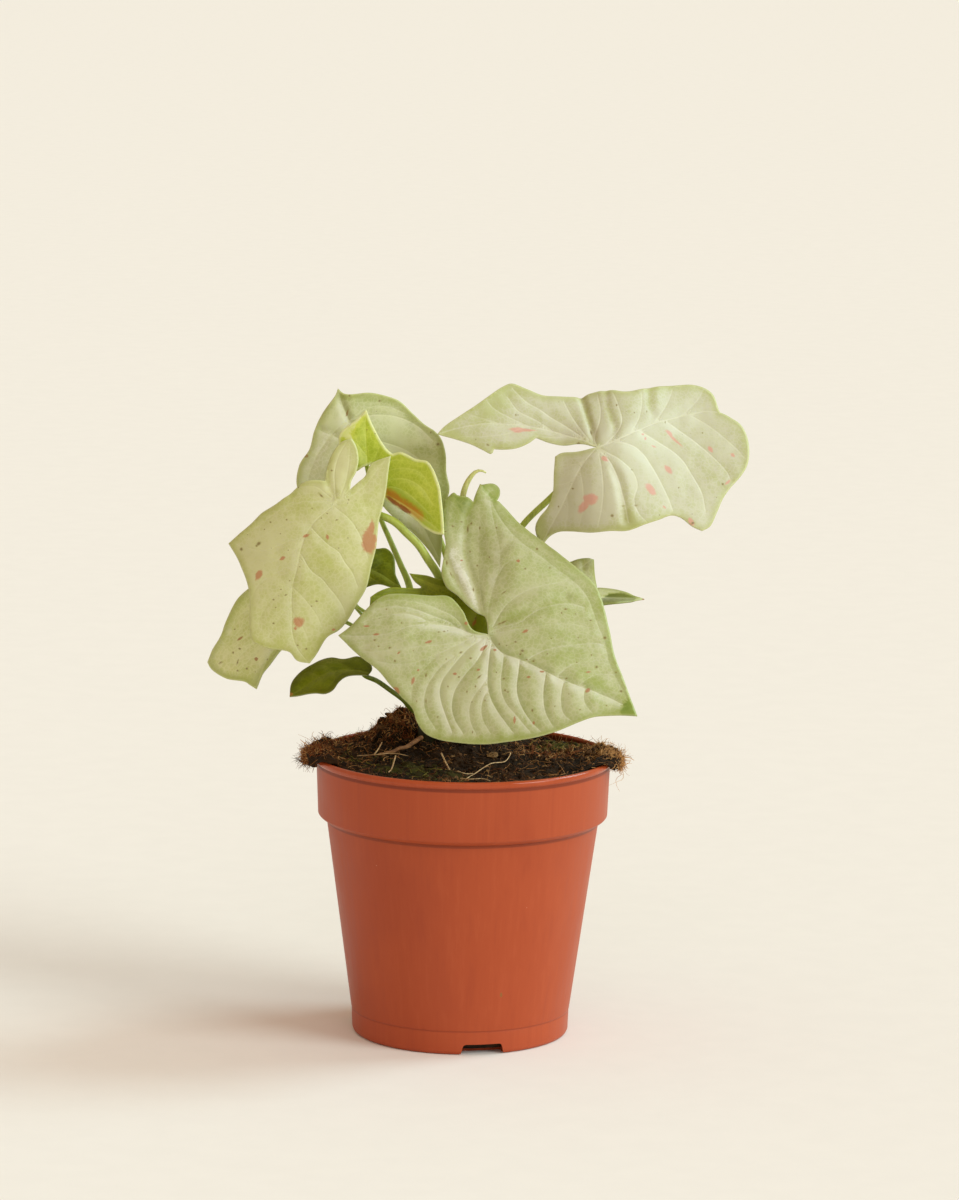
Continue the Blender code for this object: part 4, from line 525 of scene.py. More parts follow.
MARKS["leaf_mid"] = {
    "veins": lines(1,
    (.8, -46,189, -40,188.6, -34,186, -29,182.6, -26,180.6),
    (.5, -42,188.8, -38,192.4, -33.6,194),
    (.5, -37,187.6, -33,190.4, -30,190.2),
    (.5, -40,188.6, -38,184.6, -34.6,182.4),
    (.6, -46,189, -49,184, -53,178, -56,173.6)),
    "folds": [],
    "blushes": [],
    "specks": [],
    "tones": rows(6, -30,184,2.4,7,-14,-.9, -38,190,4,5,0,.7)}
MARKS["leaf_tucked"] = {
    "veins": lines(1,
    (.9, 3,178, -4,176, -14,171, -18,162, -20,149),
    (.7, 3,178, -6,180.4, -14,182.4, -20.6,185),
    (.7, 3,178, 8,172, 11,165, 10.6,162),
    (.5, -6,175.2, -16,176.4, -28,177.4, -36,176.6),
    (.5, 6,174.4, 4,168, 1,160)),
    "folds": [],
    "blushes": rows(5, 3.6,166.4,1.6,.8,60),
    "specks": rows(5, 4,168.4,.8,.5,40),
    # The tone at (3, 168) is painted light: it lightens the blade where it lies in shade in the front
    # leaf's notch.
    "tones": rows(6, -14,183.6,8,1.2,8,-1.2, -28,179.4,8,1,0,-.9, 3,168,8,9,0,-1.5)}
MARKS["leaf_behind"] = {
    "veins": lines(1,
    (.9, 34,181, 44,178.6, 54,178, 63,177.8, 70.6,177),
    (.7, 34,181, 40,185, 46,189.6, 49.6,192.4),
    (.5, 44,178.6, 48,183, 50.6,188),
    (.5, 40,179.6, 44,174, 50,172.6)),
    "folds": lines(2,
    (.7, 1.2, 46.6,193, 47.4,187, 48,181.6)),
    "blushes": rows(5, 71.2,177,.8,.5,0),
    "specks": [],
    "tones": rows(6, 46,187,6,6,0,.8, 60,177.5,12,2,0,.8, 41,190.4,5,1,10,.4, 46.4,187,.7,6,4,.7,
    48.6,187,.7,6,4,-.8),
    "patches": lines(2,
    (-.9, 0, 52,181.6, 57,181.4, 62,180.8, 68.4,178.2, 63.3,179.1, 56.1,178.2, 52,176),
    # This patch darkens the tip: its underside's olive colour, with painted shade over it.
    (7, .3, 50,174.6, 53.9,176.6, 56.1,178.3, 59.5,179.2, 63.3,179.1, 66.5,178.4, 68.6,177.8, 65.9,175.6,
    59.6,174.6, 55.2,173.8))}
MARKS["leaf_back_right"] = {
    "veins": lines(1,
    (1, 24,171, 28,160, 32,148, 35,136, 36,129),
    (.8, 24,171, 31,176, 36,181, 39,185),
    (.8, 24,171, 16,173, 10,176, 7.6,179),
    (.6, 26,166, 34,165, 41,168, 46,174),
    (.6, 28,160, 35,156, 41,157, 46.6,162),
    (.5, 30,154, 36,148, 41,147, 45,149),
    (.6, 26,166, 19,164, 12,166, 7,170),
    (.6, 28,160, 21,156, 15,156, 10,159),
    (.5, 30.6,153, 24,148, 20,146.6, 16,147)),
    "folds": [],
    "blushes": rows(5, 38,160,2.6,1.1,40, 17,160,1.8,.9,-30, 30,142,1.4,.8,10),
    "specks": rows(5, 34,170,.7,.5,0, 22,153,.6,.4,0),
    "tones": rows(6, 36,131,3,4,0,1.3, 27,158,4,12,-16,-.4)}
MARKS["leaf_back_left"] = {
    "veins": lines(1,
    (1, -35.5,236.5, -32,229, -29,221, -26.5,213),
    (.8, -35.5,236.5, -29,240, -24,244, -21,246.6),
    (.8, -35.5,236.5, -42,240, -48,244, -51,247),
    (.6, -33.4,232, -27,233, -21,237, -18,241),
    (.6, -31,226.6, -25,226, -20.6,228, -17.4,231),
    (.6, -34.4,234, -41,234, -48,236.4, -53.6,241),
    (.5, -31,226.6, -34,225, -36.6,226.6)),
    "folds": [],
    "blushes": rows(5, -44,236,2.2,1,-20, -24,231,1.6,.9,30),
    "specks": rows(5, -34,222,.6,.5,0, -30,238,.5,.4,0),
    "tones": rows(6, -26.5,214,3,3,0,1.2, -34,228,4,7,10,-.4)}

# Mossy patches of soil: (across, back, reach, amount), in mm from the pot's axis
MOSS = rows(4, -24,-24,11,0.8, -6,-38,9,0.5, 39,24,9,0.8, -44,-8,7,0.4, 10,44,8,0.6)

# Where fibre is thick: (across, back, reach, times as thick as elsewhere, how much it hangs)
TUFTS = rows(5, -62,-7,5,24,0.5, 62,-8,4.5,22,0.8, -26,32,9,9,-0.3, -54,12,7,6,0, -48,26,6,5,0,
             -40,38,5,3,0, 54,10,6,5,0, -50,-14,7,3,0, 36,12,9,6,0)

# Banks of mix against the wall: (across, back, reach, rise)
BANKS = rows(4, -44,34,7,0.3, -52,18,7,1.8, 50,20,6,1, 54,4,5,1.4)

# Bigger lumps on the mix: (across, back, radius, shade in thousandths)
CHUNKS = rows(
    4, 11.5,0,2.4,930, 33,14,2.2,1020, 37,10,1.7,1020, 28,18,1.8,1010, -45,-4,1.8,300, 50,2,1.8,500,
    46,10,1.6,420, -50,4,2,520, 24,12,1.5,1000, 4,-12,1.6,200, -14,-16,1.7,260, -33,26,2.2,600,
    -22,36,2,560, -28,30,1.8,840)

# Straws on the soil: their radius, and points (across, back, height over the soil), in mm
STRAWS = [
    (0.2, rows(3, 15.5,1,1.2, 18.8,-2.5,1.9, 17,-9,1.7, 11,-20,1.4, 4.5,-33,1.2, 1,-44,1.2)),
    (0.36, rows(3, -8.8,-8,2.4, -7,-17,1.6, -5,-27,0.5)),
    (0.28, rows(3, -27,-10,2.2, -28.2,-22,1.4, -29.3,-35,0.5)),
    (0.28, rows(3, -33,10,3.2, -34.5,4,2.6, -36,-2,1)),
    (0.2, rows(3, 4,-30,0.6, 1,-33,1.2, -2,-31.5,1, -1,-28.6,0.5)),
    (0.2, rows(3, -1,-40,0.8, 3,-43,1.4, 8,-41,1.2, 11,-43,0.5)),
    (0.18, rows(3, -42.5,-6,0.8, -35,-3,1.4, -27.5,-1,1.8, -22,-2,1.4)),
]

# Where the dry stalk lies on the soil, as (across, back), and its radius
DEAD_STALK = pairs(-34,1.5, -28,5, -22,9, -16.8,13.4)
DEAD_STALK_RADIUS = 0.9

# The soil's mound and the crown round the stems: (across, back, reach, rise)
MOUND = (-26, 32, 8, 12.5)
CROWN = (0, 18, 13, 5.5)
SOIL_LEVEL = 111.3

# Steps of a smooth curve between two of its points, and how far a blade's depth may keep from
# its control points
ARC_CUTS = 12
PLATE_SLACK = 30.0

# What the mix keeps to at the pot's rim: the top and the outside of the lip, the inside of the
# wall, and the height under which the soil stays smooth
LIP_TOP = 113.8
LIP_OUT = 61.2
WALL_IN = 56.5
SOIL_SMOOTH = 109.0


def seen(across, up, near):
    """The point `near` mm before the pot's axis plane that the eye sees at (across, up) in it."""
    t = near / EYE_BACK
    return Vector((across + (EYE_ACROSS - across) * t, -near, up + (EYE_UP - up) * t)) * MM


def thin_plate(controls):
    """Smooth depth close to (across, up, near) control points."""
    points = np.array([c[:2] for c in controls], float)
    near = np.array([c[2] for c in controls], float)
    count = len(points)

    def kernel(a, b):
        squared = ((a[:, None, :] - b[None, :, :]) ** 2).sum(2) + 1e-9
        return 0.5 * squared * np.log(squared)

    flat = np.hstack([np.ones((count, 1)), points])
    system = np.zeros((count + 3, count + 3))
    system[:count, :count] = kernel(points, points) + np.eye(count) * PLATE_SLACK
    system[:count, count:] = flat
    system[count:, :count] = flat.T
    weights = np.linalg.solve(system, np.concatenate([near, np.zeros(3)]))

    def depth(query):
        query = np.atleast_2d(np.array(query, float))
        flat_part = np.hstack([np.ones((len(query), 1)), query]) @ weights[count:]
        return kernel(query, points) @ weights[:count] + flat_part

    return depth


def between(first, last, low, high, t):
    """The value at `t` of a line from `first` at `low` to `last` at `high`."""
    return first * (high - t) / (high - low) + last * (t - low) / (high - low)


def smooth_arc(points, step):
    """Points about `step` apart on a centripetal Catmull-Rom curve through `points`."""
    pts = [np.array(p, float) for p in points]
    chain = [2 * pts[0] - pts[1], *pts, 2 * pts[-1] - pts[-2]]
    fine = [pts[0]]
    for k in range(1, len(chain) - 2):
        p0, p1, p2, p3 = chain[k - 1:k + 3]
        t1 = math.sqrt(np.linalg.norm(p1 - p0))
        t2 = t1 + math.sqrt(np.linalg.norm(p2 - p1))
        t3 = t2 + math.sqrt(np.linalg.norm(p3 - p2))
        for t in np.linspace(t1, t2, ARC_CUTS + 1)[1:]:
            middle = between(p1, p2, t1, t2, t)
            before = between(between(p0, p1, 0, t1, t), middle, 0, t2, t)
            after = between(middle, between(p2, p3, t2, t3, t), t1, t3, t)
            fine.append(between(before, after, t1, t2, t))
    fine = np.array(fine)
    lengths = np.concatenate([[0], np.cumsum(np.linalg.norm(np.diff(fine, axis=0), axis=1))])
    count = max(1, round(lengths[-1] / step))
    places = np.linspace(0, lengths[-1], count + 1)
    return np.stack([np.interp(places, lengths, fine[:, k]) for k in range(fine.shape[1])], 1)


def rim_of(arcs, step):
    """Closed rim of a blade: arcs from corner to corner, the first one starting at the last's end."""
    rim = []
    start = arcs[-1][-1]
    for arc in arcs:
        rim.extend(smooth_arc([start] + arc, step)[:-1])
        start = arc[-1]
    return np.array(rim)


def inside(points, rim):
    """Which points lie inside the closed rim."""
    x, y = points[:, 0], points[:, 1]
    found = np.zeros(len(points), bool)
    for (x1, y1), (x2, y2) in zip(rim, np.roll(rim, -1, 0)):
        crosses = (y1 > y) != (y2 > y)
        slope = np.where(crosses, (x2 - x1) * (y - y1) / ((y2 - y1) or 1e-12) + x1, x)
        found ^= crosses & (x < slope)
    return found


def leaf_point(leaf, across, up):
    """Middle of the blade's thickness at a seen place, in metres."""
    return seen(across, up, float(leaf["at"]((across, up))[0]))


def leaf_normal(leaf, across, up):
    """Unit normal of the blade at a seen place, towards the eye."""
    side = leaf_point(leaf, across + 1, up) - leaf_point(leaf, across - 1, up)
    rise = leaf_point(leaf, across, up + 1) - leaf_point(leaf, across, up - 1)
    return side.cross(rise).normalized()


def near_line(points, line):
    """Distance of each point from a line in mm, how far along it that is, the way there and the
    distance again, with a sign for the side of the line that the point lies on."""
    fine = smooth_arc(line, 0.3)
    run = np.gradient(fine, axis=0)
    across = np.stack([-run[:, 1], run[:, 0]], 1) / np.linalg.norm(run, axis=1)[:, None]
    gap, side = np.full((2, len(points)), 1e9)
    share = np.zeros(len(points))
    way = np.zeros((len(points), 2))
    low, high = fine.min(0) - 9.0, fine.max(0) + 9.0
    close = np.nonzero(((points > low) & (points < high)).all(1))[0]
    for start in range(0, len(close), 4000):
        some = close[start:start + 4000]
        apart = np.linalg.norm(points[some, None, :] - fine[None, :, :], axis=2)
        best = apart.argmin(1)
        gap[some] = apart[np.arange(len(some)), best]
        share[some] = best / (len(fine) - 1)
        over = ((points[some] - fine[best]) * across[best]).sum(1)
        hand = np.where(over < 0, -1.0, 1.0)
        close_by = gap[some] < 0.9
        side[some] = np.where(close_by, over, hand * gap[some])
        straight = (fine[best] - points[some]) / np.maximum(gap[some], 0.05)[:, None]
        way[some] = np.where(close_by[:, None], -hand[:, None] * across[best], straight)
    return gap, share, way, side


def in_oval(points, oval):
    """1 in the middle of an oval mark, 0 on its edge and below 0 outside."""
    across, up, long, wide, turn = oval
    angle = math.radians(turn)
    x, y = points[:, 0] - across, points[:, 1] - up
    along = (x * math.cos(angle) + y * math.sin(angle)) / long
    over = (y * math.cos(angle) - x * math.sin(angle)) / wide
    return 1.0 - np.hypot(along, over)


class Sown:
    """Points on a plane that keep a distance from each other."""

    def __init__(self, gap):
        self.gap = gap
        self.cells = {}
        self.points = []

    def cell(self, point):
        """The square that a point lies in."""
        return int(point[0] // self.gap), int(point[1] // self.gap)

    def crowded(self, point, gap):
        """Whether a sown point lies nearer than `gap`."""
        cx, cy = self.cell(point)
        return any(math.dist(self.points[k], point) < gap
                   for x in range(cx - 1, cx + 2) for y in range(cy - 1, cy + 2)
                   for k in self.cells.get((x, y), ()))

    def add(self, point):
        """Keep a point and return its number."""
        self.cells.setdefault(self.cell(point), []).append(len(self.points))
        self.points.append((float(point[0]), float(point[1])))
        return len(self.points) - 1


def oval_axis(oval, step):
    """Points along the long axis of an oval mark."""
    across, up, long, wide, turn = oval
    if wide > long:
        long, turn = wide, turn + 90.0
    count = max(0, round(long / step))
    angle = math.radians(turn)
    for k in range(-count, count + 1):
        reach = long * k / count if count else 0.0
        yield across + reach * math.cos(angle), up + reach * math.sin(angle)


def blade_net(rim, marks, step):
    """Flat triangles that fill a rim, with corners on its veins, folds and specks."""
    sown = Sown(step)
    edges = []
    for point in rim:
        sown.add(point)
    drawn = [*marks["veins"], *marks["folds"], *marks.get("patches", ())]
    for *_, line in drawn:
        places = smooth_arc(line, step)
        within = inside(places, rim)
        last = None
        for point, kept in zip(places, within):
            if not kept or sown.crowded(point, step * 0.55):
                last = None
                continue
            number = sown.add(point)
            if last is not None:
                edges.append((last, number))
            last = number
    dots = [p for oval in marks["specks"] + marks["blushes"] for p in oval_axis(oval, 0.55)]
    for point, kept in zip(dots, inside(np.array(dots), rim) if dots else []):
        if kept and not sown.crowded(point, step * 0.35):
            sown.add(point)
    low, high = rim.min(0), rim.max(0)
    levels = np.arange(low[1], high[1], step * math.sqrt(3) / 2)
    grid = np.array([(x + (k % 2) * step / 2, y) for k, y in enumerate(levels)
                     for x in np.arange(low[0], high[0], step)])
    for point in grid[inside(grid, rim)]:
        if not sown.crowded(point, step * 0.66):
            sown.add(point)
    flat = [Vector(p) for p in sown.points]
    corners, _, faces, _, _, _ = delaunay_2d_cdt(flat, edges, [list(range(len(rim)))], 1, 1e-6)
    return np.array([tuple(c) for c in corners]), faces


def waves(points, size, seed):
    """Smooth noise from -1 to 1 on the blade's plane, with swells about `size` mm across."""
    return np.array([noise.noise(Vector((x / size, y / size, seed))) for x, y in points])


def blade_marks(places, rim, marks):
    """What a blade shows at each place: veins, edge, blushes, specks and tones, painted light and shade on
    the slopes beside veins and folds, and its relief.
    """
    near = np.full(len(places), 9.0)
    side, force, crease, lean, painted_shading_flip = np.zeros((5, len(places)))
    for strength, line in marks["veins"]:
        gap, share, way, over = near_line(places, line)
        felt = strength * (1.0 - 0.45 * share)
        # Painted light and shade: beside each vein, the slope that faces the light is painted lit and the
        # other painted shaded.
        lit = way @ LIGHT_WAY
        here, there = (felt * tilt * np.exp(-(gap / np.where(tilt > 0, 3.2, 2.1)) ** 2)
                       for tilt in (lit, -lit))
        closer = gap < near
        near = np.where(closer, gap, near)
        side = np.where(closer, over, side)
        force = np.where(closer, felt, force)
        fading = np.clip((1.5 - gap) / 0.6, 0, 1)
        painted_shading_flip = np.where(closer, (there - here) * fading, painted_shading_flip)
        lean += here
        crease = np.maximum(crease, felt * np.exp(-gap / 1.5))
    folded = np.zeros(len(places))
    for depth, width, line in marks["folds"]:
        gap, share, way, _ = near_line(places, line)
        ends = np.sqrt(np.clip(4 * share, 0, 1))
        folded -= depth * np.exp(-(gap / width) ** 2) * ends
        # Painted light and shade on the two walls of the fold.
        soft = np.clip(gap / width, 0, 1) * np.exp(-(gap / (1.5 * width)) ** 2)
        lean += depth * soft * (way @ LIGHT_WAY) * ends
    edge = near_line(places, np.vstack([rim, rim[:1]]))[0]
    edge = np.minimum(edge, 12.0)
    tone = np.zeros(len(places))
    for across, up, reach_across, reach_up, turn, amount in marks["tones"]:
        oval = in_oval(places, (across, up, reach_across, reach_up, turn))
        tone += amount * np.exp(-0.7 * (1.0 - oval) ** 2)
    for amount, depth, outline in marks.get("patches", ()):
        outline = np.array(outline, float)
        gap = near_line(places, np.vstack([outline, outline[:1]]))[0]
        filled = np.clip(0.5 + np.where(inside(places, outline), gap, -gap) / 0.7, 0, 1)
        tone += amount * filled
        folded -= depth * filled
    blush, speck = np.full((2, len(places)), -3.0)
    for oval in marks["blushes"]:
        blush = np.maximum(blush, in_oval(places, oval))
    for oval in marks["specks"]:
        speck = np.maximum(speck, in_oval(places, oval))
    layers = {
        "vein_near": near, "vein_side": np.clip(side, -9, 9), "vein_force": force,
        "lean_one": lean + np.where(side < 0, painted_shading_flip, 0), "lean_two": lean + np.where(side < 0, 0, painted_shading_flip),
        "edge": edge, "tone": tone, "blush": blush, "speck": speck}
    return layers, folded, crease


def linked(name, data):
    """An object in the scene that holds a mesh, a curve, a lamp or a lens."""
    made = bpy.data.objects.new(name, data)
    bpy.context.scene.collection.objects.link(made)
    return made


def mesh_object(name, bm, *finishes):
    """A finished piece from a bmesh, with its materials."""
    mesh = bpy.data.meshes.new(name)
    bm.to_mesh(mesh)
    bm.free()
    for finish in finishes:
        mesh.materials.append(finish)
    return linked(name, mesh)


def rounded(bm, geom, offset, segments, affect="EDGES", **more):
    """Bevel edges or corners by `offset` mm."""
    bmesh.ops.bevel(bm, geom=geom, offset=offset * MM, segments=segments, profile=0.5,
                    affect=affect, material=-1, **more)


def smoothed(bm, smooth=True):
    """Shade every face smooth or flat."""
    for face in bm.faces:
        face.smooth = smooth


def random_way(rand):
    """A vector with each of its numbers between -1 and 1."""
    return Vector([rand.uniform(-1, 1) for _ in range(3)])


def applied(made):
    """Replace an object's mesh by what its modifiers make of it."""
    bpy.context.view_layer.update()
    graph = bpy.context.evaluated_depsgraph_get()
    mesh = bpy.data.meshes.new_from_object(made.evaluated_get(graph))
    made.modifiers.clear()
    made.data = mesh
    mesh.name = made.name
    return made


def into_place(made, slot, *nodes):
    """Tie a piece to the plant's body and hide the solids it stands for; `slot` is not used."""
    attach(made, "root")
    if nodes:
        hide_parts(*nodes)
    return made


def keep_numbers(mesh, **layers):
    """Store numbers on the mesh's points for its material to read."""
    for name, values in layers.items():
        layer = mesh.attributes.new(name, "FLOAT", "POINT")
        layer.data.foreach_set("value", np.asarray(values, dtype=np.float32))


def build_leaf(name, leaf, marks, sizes, finishes):
    """One blade: its outline filled, bent to its depth, pressed with veins and thickened."""
    step = sizes.mesh_step / MM
    rim = rim_of(leaf["outline"], step)
    places, faces = blade_net(rim, marks, step)
    layers, folded, crease = blade_marks(places, rim, marks)
    near = leaf["at"](places)
    bm = bmesh.new()
    verts = [bm.verts.new(seen(a, h, d)) for (a, h), d in zip(places, near)]
    for face in faces:
        bm.faces.new([verts[k] for k in face])
    bmesh.ops.recalc_face_normals(bm, faces=bm.faces)
    if sum(f.normal.y * f.calc_area() for f in bm.faces) > 0:
        bmesh.ops.reverse_faces(bm, faces=bm.faces)
    bm.normal_update()
    relief = leaf["relief"] / MM
    groove = sizes.vein_depth * relief * crease
    quilt = sizes.puff * relief * (1.0 - np.exp(-(layers["vein_near"] / 3.5) ** 2))
    swell = sizes.swell / MM * waves(places, 13.0, len(name))
    fine = sizes.swell / MM * 0.35 * waves(places, 4.5, len(name) + 5.0)
    calm = np.clip(layers["edge"] / 2.5, 0.15, 1.0)
    lift = folded + (quilt - groove) * calm + swell + fine
    for vert, reach in zip(verts, lift):
        vert.co += vert.normal * float(reach) * MM
    made = mesh_object(f"{name}_blade", bm, *finishes)
    keep_numbers(made.data, **layers)
    solid = made.modifiers.new("blade", "SOLIDIFY")
    solid.thickness = sizes.thickness
    solid.offset = 0.0
    solid.material_offset = 1
    solid.material_offset_rim = 1
    applied(made)
    made.data.shade_smooth()
    return into_place(made, leaf["slot"], name)


def rods(name, routes, level, *finishes):
    """Round stalks, straws or fibres along routes of (x, y, z, radius), as one closed mesh."""
    curve = bpy.data.curves.new(name, "CURVE")
    curve.dimensions = "3D"
    curve.bevel_depth = 1.0
    curve.bevel_resolution = level
    curve.use_fill_caps = True
    for route in routes:
        spline = curve.splines.new("POLY")
        spline.points.add(len(route) - 1)
        spline.points.foreach_set("co", [v for x, y, z, _ in route for v in (x, y, z, 1.0)])
        spline.points.foreach_set("radius", [r for _, _, _, r in route])
    drawn = linked(name, curve)
    bpy.context.view_layer.update()
    mesh = bpy.data.meshes.new_from_object(drawn.evaluated_get(bpy.context.evaluated_depsgraph_get()))
    bpy.data.objects.remove(drawn)
    bm = bmesh.new()
    bm.from_mesh(mesh)
    bpy.data.meshes.remove(mesh)
    bmesh.ops.remove_doubles(bm, verts=bm.verts, dist=2e-6)
    bmesh.ops.recalc_face_normals(bm, faces=bm.faces)
    for face in bm.faces:
        face.material_index = 0
    smoothed(bm)
    return mesh_object(name, bm, *finishes)


def joined(name, parts):
    """Several pieces as one mesh."""
    bm = bmesh.new()
    finishes = []
    for part in parts:
        before = len(bm.faces)
        bm.from_mesh(part.data)
        bm.faces.ensure_lookup_table()
        for face in bm.faces[before:]:
            face.material_index += len(finishes)
        finishes.extend(part.data.materials)
        bpy.data.objects.remove(part)
    return mesh_object(name, bm, *finishes)


def stalk_route(stalk, sizes):
    """Route of a leaf stalk in metres, up to its seat in the blade."""
    route = [(*seen(a, h, near), r * MM) for a, h, near, r in stalk["path"]]
    if stalk["leaf"]:
        leaf = LEAVES[stalk["leaf"]]
        knot = leaf_point(leaf, *stalk["knot"])
        normal = leaf_normal(leaf, *stalk["knot"]) * stalk["side"]
        radius = stalk["path"][-1][3] * 0.9 * MM
        route.append((*(knot + normal * 2.0 * radius), radius))
        route.append((*(knot + normal * 0.5 * MM), radius))
    return smooth_arc([tuple(v / MM for v in p) for p in route], sizes.route_step / MM) * MM


def build_stem(name, stem, sizes, green, new_green):
    """A short leafy stem with its leaf stalks."""
    foot = bmesh.new()
    low, high = 86.0, 124.5
    bmesh.ops.create_cone(
        foot, cap_ends=True, segments=32, radius1=4.2 * MM, radius2=3.6 * MM, depth=(high - low) * MM)
    bmesh.ops.translate(foot, verts=foot.verts, vec=Vector((*stem["at"], (high + low) / 2)) * MM)
    rings = [e for e in foot.edges if e.verts[0].co.z > 0.12 and e.verts[1].co.z > 0.12]
    rounded(foot, rings, 1.6, 4)
    smoothed(foot)
    parts = [mesh_object(f"{name}_foot", foot, green)]
    plain = [stalk_route(s, sizes) for s in stem["stalks"] if s["leaf"]]
    parts.append(rods(f"{name}_stalks", plain, 4, green))
    spears = [stalk_route(s, sizes) for s in stem["stalks"] if not s["leaf"]]
    if spears:
        parts.append(rods(f"{name}_spear", spears, 4, new_green))
    return into_place(joined(f"{name}_green", parts), "stalk_green", name)


def spun(name, profile, steps, *finishes):
    """A profile of (radius, height) in mm, spun about the axis into a closed shell."""
    bm = bmesh.new()
    line = [bm.verts.new((r * MM, 0.0, z * MM)) for r, z in profile]
    for a, b in zip(line, line[1:]):
        bm.edges.new((a, b))
    bends = [v for v in line if len(v.link_edges) == 2]
    rounded(bm, bends, 0.28, 3, "VERTICES", clamp_overlap=True)
    bmesh.ops.spin(bm, geom=bm.verts[:] + bm.edges[:], cent=(0, 0, 0), axis=(0, 0, 1),
                   angle=2 * math.pi, steps=steps, use_merge=True)
    bmesh.ops.remove_doubles(bm, verts=bm.verts, dist=5e-6)
    bmesh.ops.recalc_face_normals(bm, faces=bm.faces)
    return mesh_object(name, bm, *finishes)


def build_pot(sizes, plastic):
    """The nursery pot: a thin spun shell with rolled rim, band, step, foot and drain notches."""
    top, rim = sizes.top / MM, sizes.rim_radius / MM
    wall = sizes.wall / MM
    band, band_foot, step, seam, foot = rim - 1, rim - 1.9, rim - 5.5, rim - 16, rim - 16.4
    profile = [
        (0, 1.6), (seam - wall - 2.4, 1.6), (seam - wall - 0.4, 3.6), (step - wall, 86),
        (band_foot - wall, 89.6), (band - wall + 0.3, top - 1.2), (band - 0.9, top - 0.3),
        (rim - 1.2, top), (rim - 0.5, top - 0.25), (rim - 0.12, top - 0.75), (rim, top - 1.4),
        (rim - 0.08, top - 2.1), (rim - 0.4, top - 2.6), (band - 0.1, top - 2.85),
        (band - 0.1, top - 3.6), (band_foot, 89.4), (band_foot - 0.5, 88.8), (step + 0.3, 86.8),
        (step, 86), (seam + 0.05, 9.9), (seam - 0.25, 9.4), (seam - 0.15, 9), (foot, 1.5),
        (foot - 0.5, 0.4), (foot - 1.5, 0), (0, 0)]
    made = spun("pot_shell", profile, sizes.steps, plastic)
    for number in range(3):
        bm = bmesh.new()
        bmesh.ops.create_cube(bm, size=1)
        for corner in bm.verts:
            corner.co.x *= (18 if corner.co.z < 0 else 15.5) * MM
            corner.co.y = (corner.co.y * 12 - 42) * MM
            corner.co.z = (4.3 if corner.co.z > 0 else -1) * MM
        sides = [e for e in bm.edges if e.verts[0].co.z > 0 and e.verts[1].co.z > 0
                 and abs(e.verts[0].co.x - e.verts[1].co.x) < 1 * MM]
        rounded(bm, sides, 1.1, 4)
        bmesh.ops.rotate(bm, verts=bm.verts, cent=(0, 0, 0), matrix=Matrix.Rotation(
            math.radians(12.4 + number * 120), 3, "Z"))
        cutter = mesh_object(f"notch_{number}", bm)
        cut = made.modifiers.new("notch", "BOOLEAN")
        cut.solver = "EXACT"
        cut.object = cutter
        applied(made)
        bpy.data.objects.remove(cutter)
    made.data.shade_smooth()
    made.data.set_sharp_from_angle(angle=math.radians(34))
    return into_place(made, "pot_plastic", "pot")


def hill(x, y, across, back, reach, rise=1.0):
    """Height over a place of a round hill at (across, back)."""
    return rise * math.exp(-((x - across) ** 2 + (y - back) ** 2) / (2 * reach ** 2))


def soil_height(x, y):
    """Height of the top of the soil at a place, in mm."""
    rough = noise.fractal(Vector((x / 11.0, y / 11.0, 3.7)), 0.8, 2.0, 3)
    return SOIL_LEVEL + 1.5 * rough + hill(x, y, *MOUND) + hill(x, y, *CROWN)


def mossy(x, y):
    """How mossy the soil is at a place, from 0 to 1."""
    return min(1.0, sum(hill(x, y, *patch) for patch in MOSS))


def build_soil(sizes, earth):
    """The root ball, its top broken up into lumps."""
    bm = bmesh.new()
    bm.from_mesh(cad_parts["soil"].data)
    bmesh.ops.remove_doubles(bm, verts=bm.verts, dist=1e-6)
    crown = [e for e in bm.edges if all(v.co.z > 0.1085 for v in e.verts)]
    bmesh.ops.subdivide_edges(bm, edges=crown, cuts=3, use_grid_fill=True)
    bmesh.ops.triangulate(bm, faces=bm.faces)
    bm.normal_update()
    for vert in bm.verts:
        x, y, z = (v / MM for v in vert.co)
        around = math.hypot(x, y)
        free = max(0.0, min(1.0, (z - SOIL_SMOOTH) / 1.5))
        if 55.6 < around < 58.4 and z < 113.6:
            free = 0.0
        place = Vector((x, y, z))
        heap = hill(x, y, *MOUND[:2], math.sqrt(75))
        lump = noise.fractal(place / 4.2, 0.9, 2.1, 4) * sizes.lumps / MM * (1.0 + 1.8 * heap)
        pit = -abs(noise.noise(place / 2.4 + Vector((9, 4, 1)))) * (1.1 + 1.2 * heap)
        vert.co += vert.normal * (lump + pit) * free * MM
        if around < 57.0:
            bank = sum(hill(x, y, *row) for row in BANKS)
            vert.co.z += bank * min(1.0, max(0.0, z - SOIL_SMOOTH)) * MM
    smoothed(bm, False)
    return into_place(mesh_object("root_ball", bm, earth), "soil", "soil")


def on_soil(tree, x, y):
    """The finished soil's surface under a place, in metres, and its normal, or None."""
    place, normal, _, _ = tree.ray_cast(Vector((x, y, 0.2)), Vector((0, 0, -1)))
    return None if place is None or place.z < 0.1 else (place, normal)


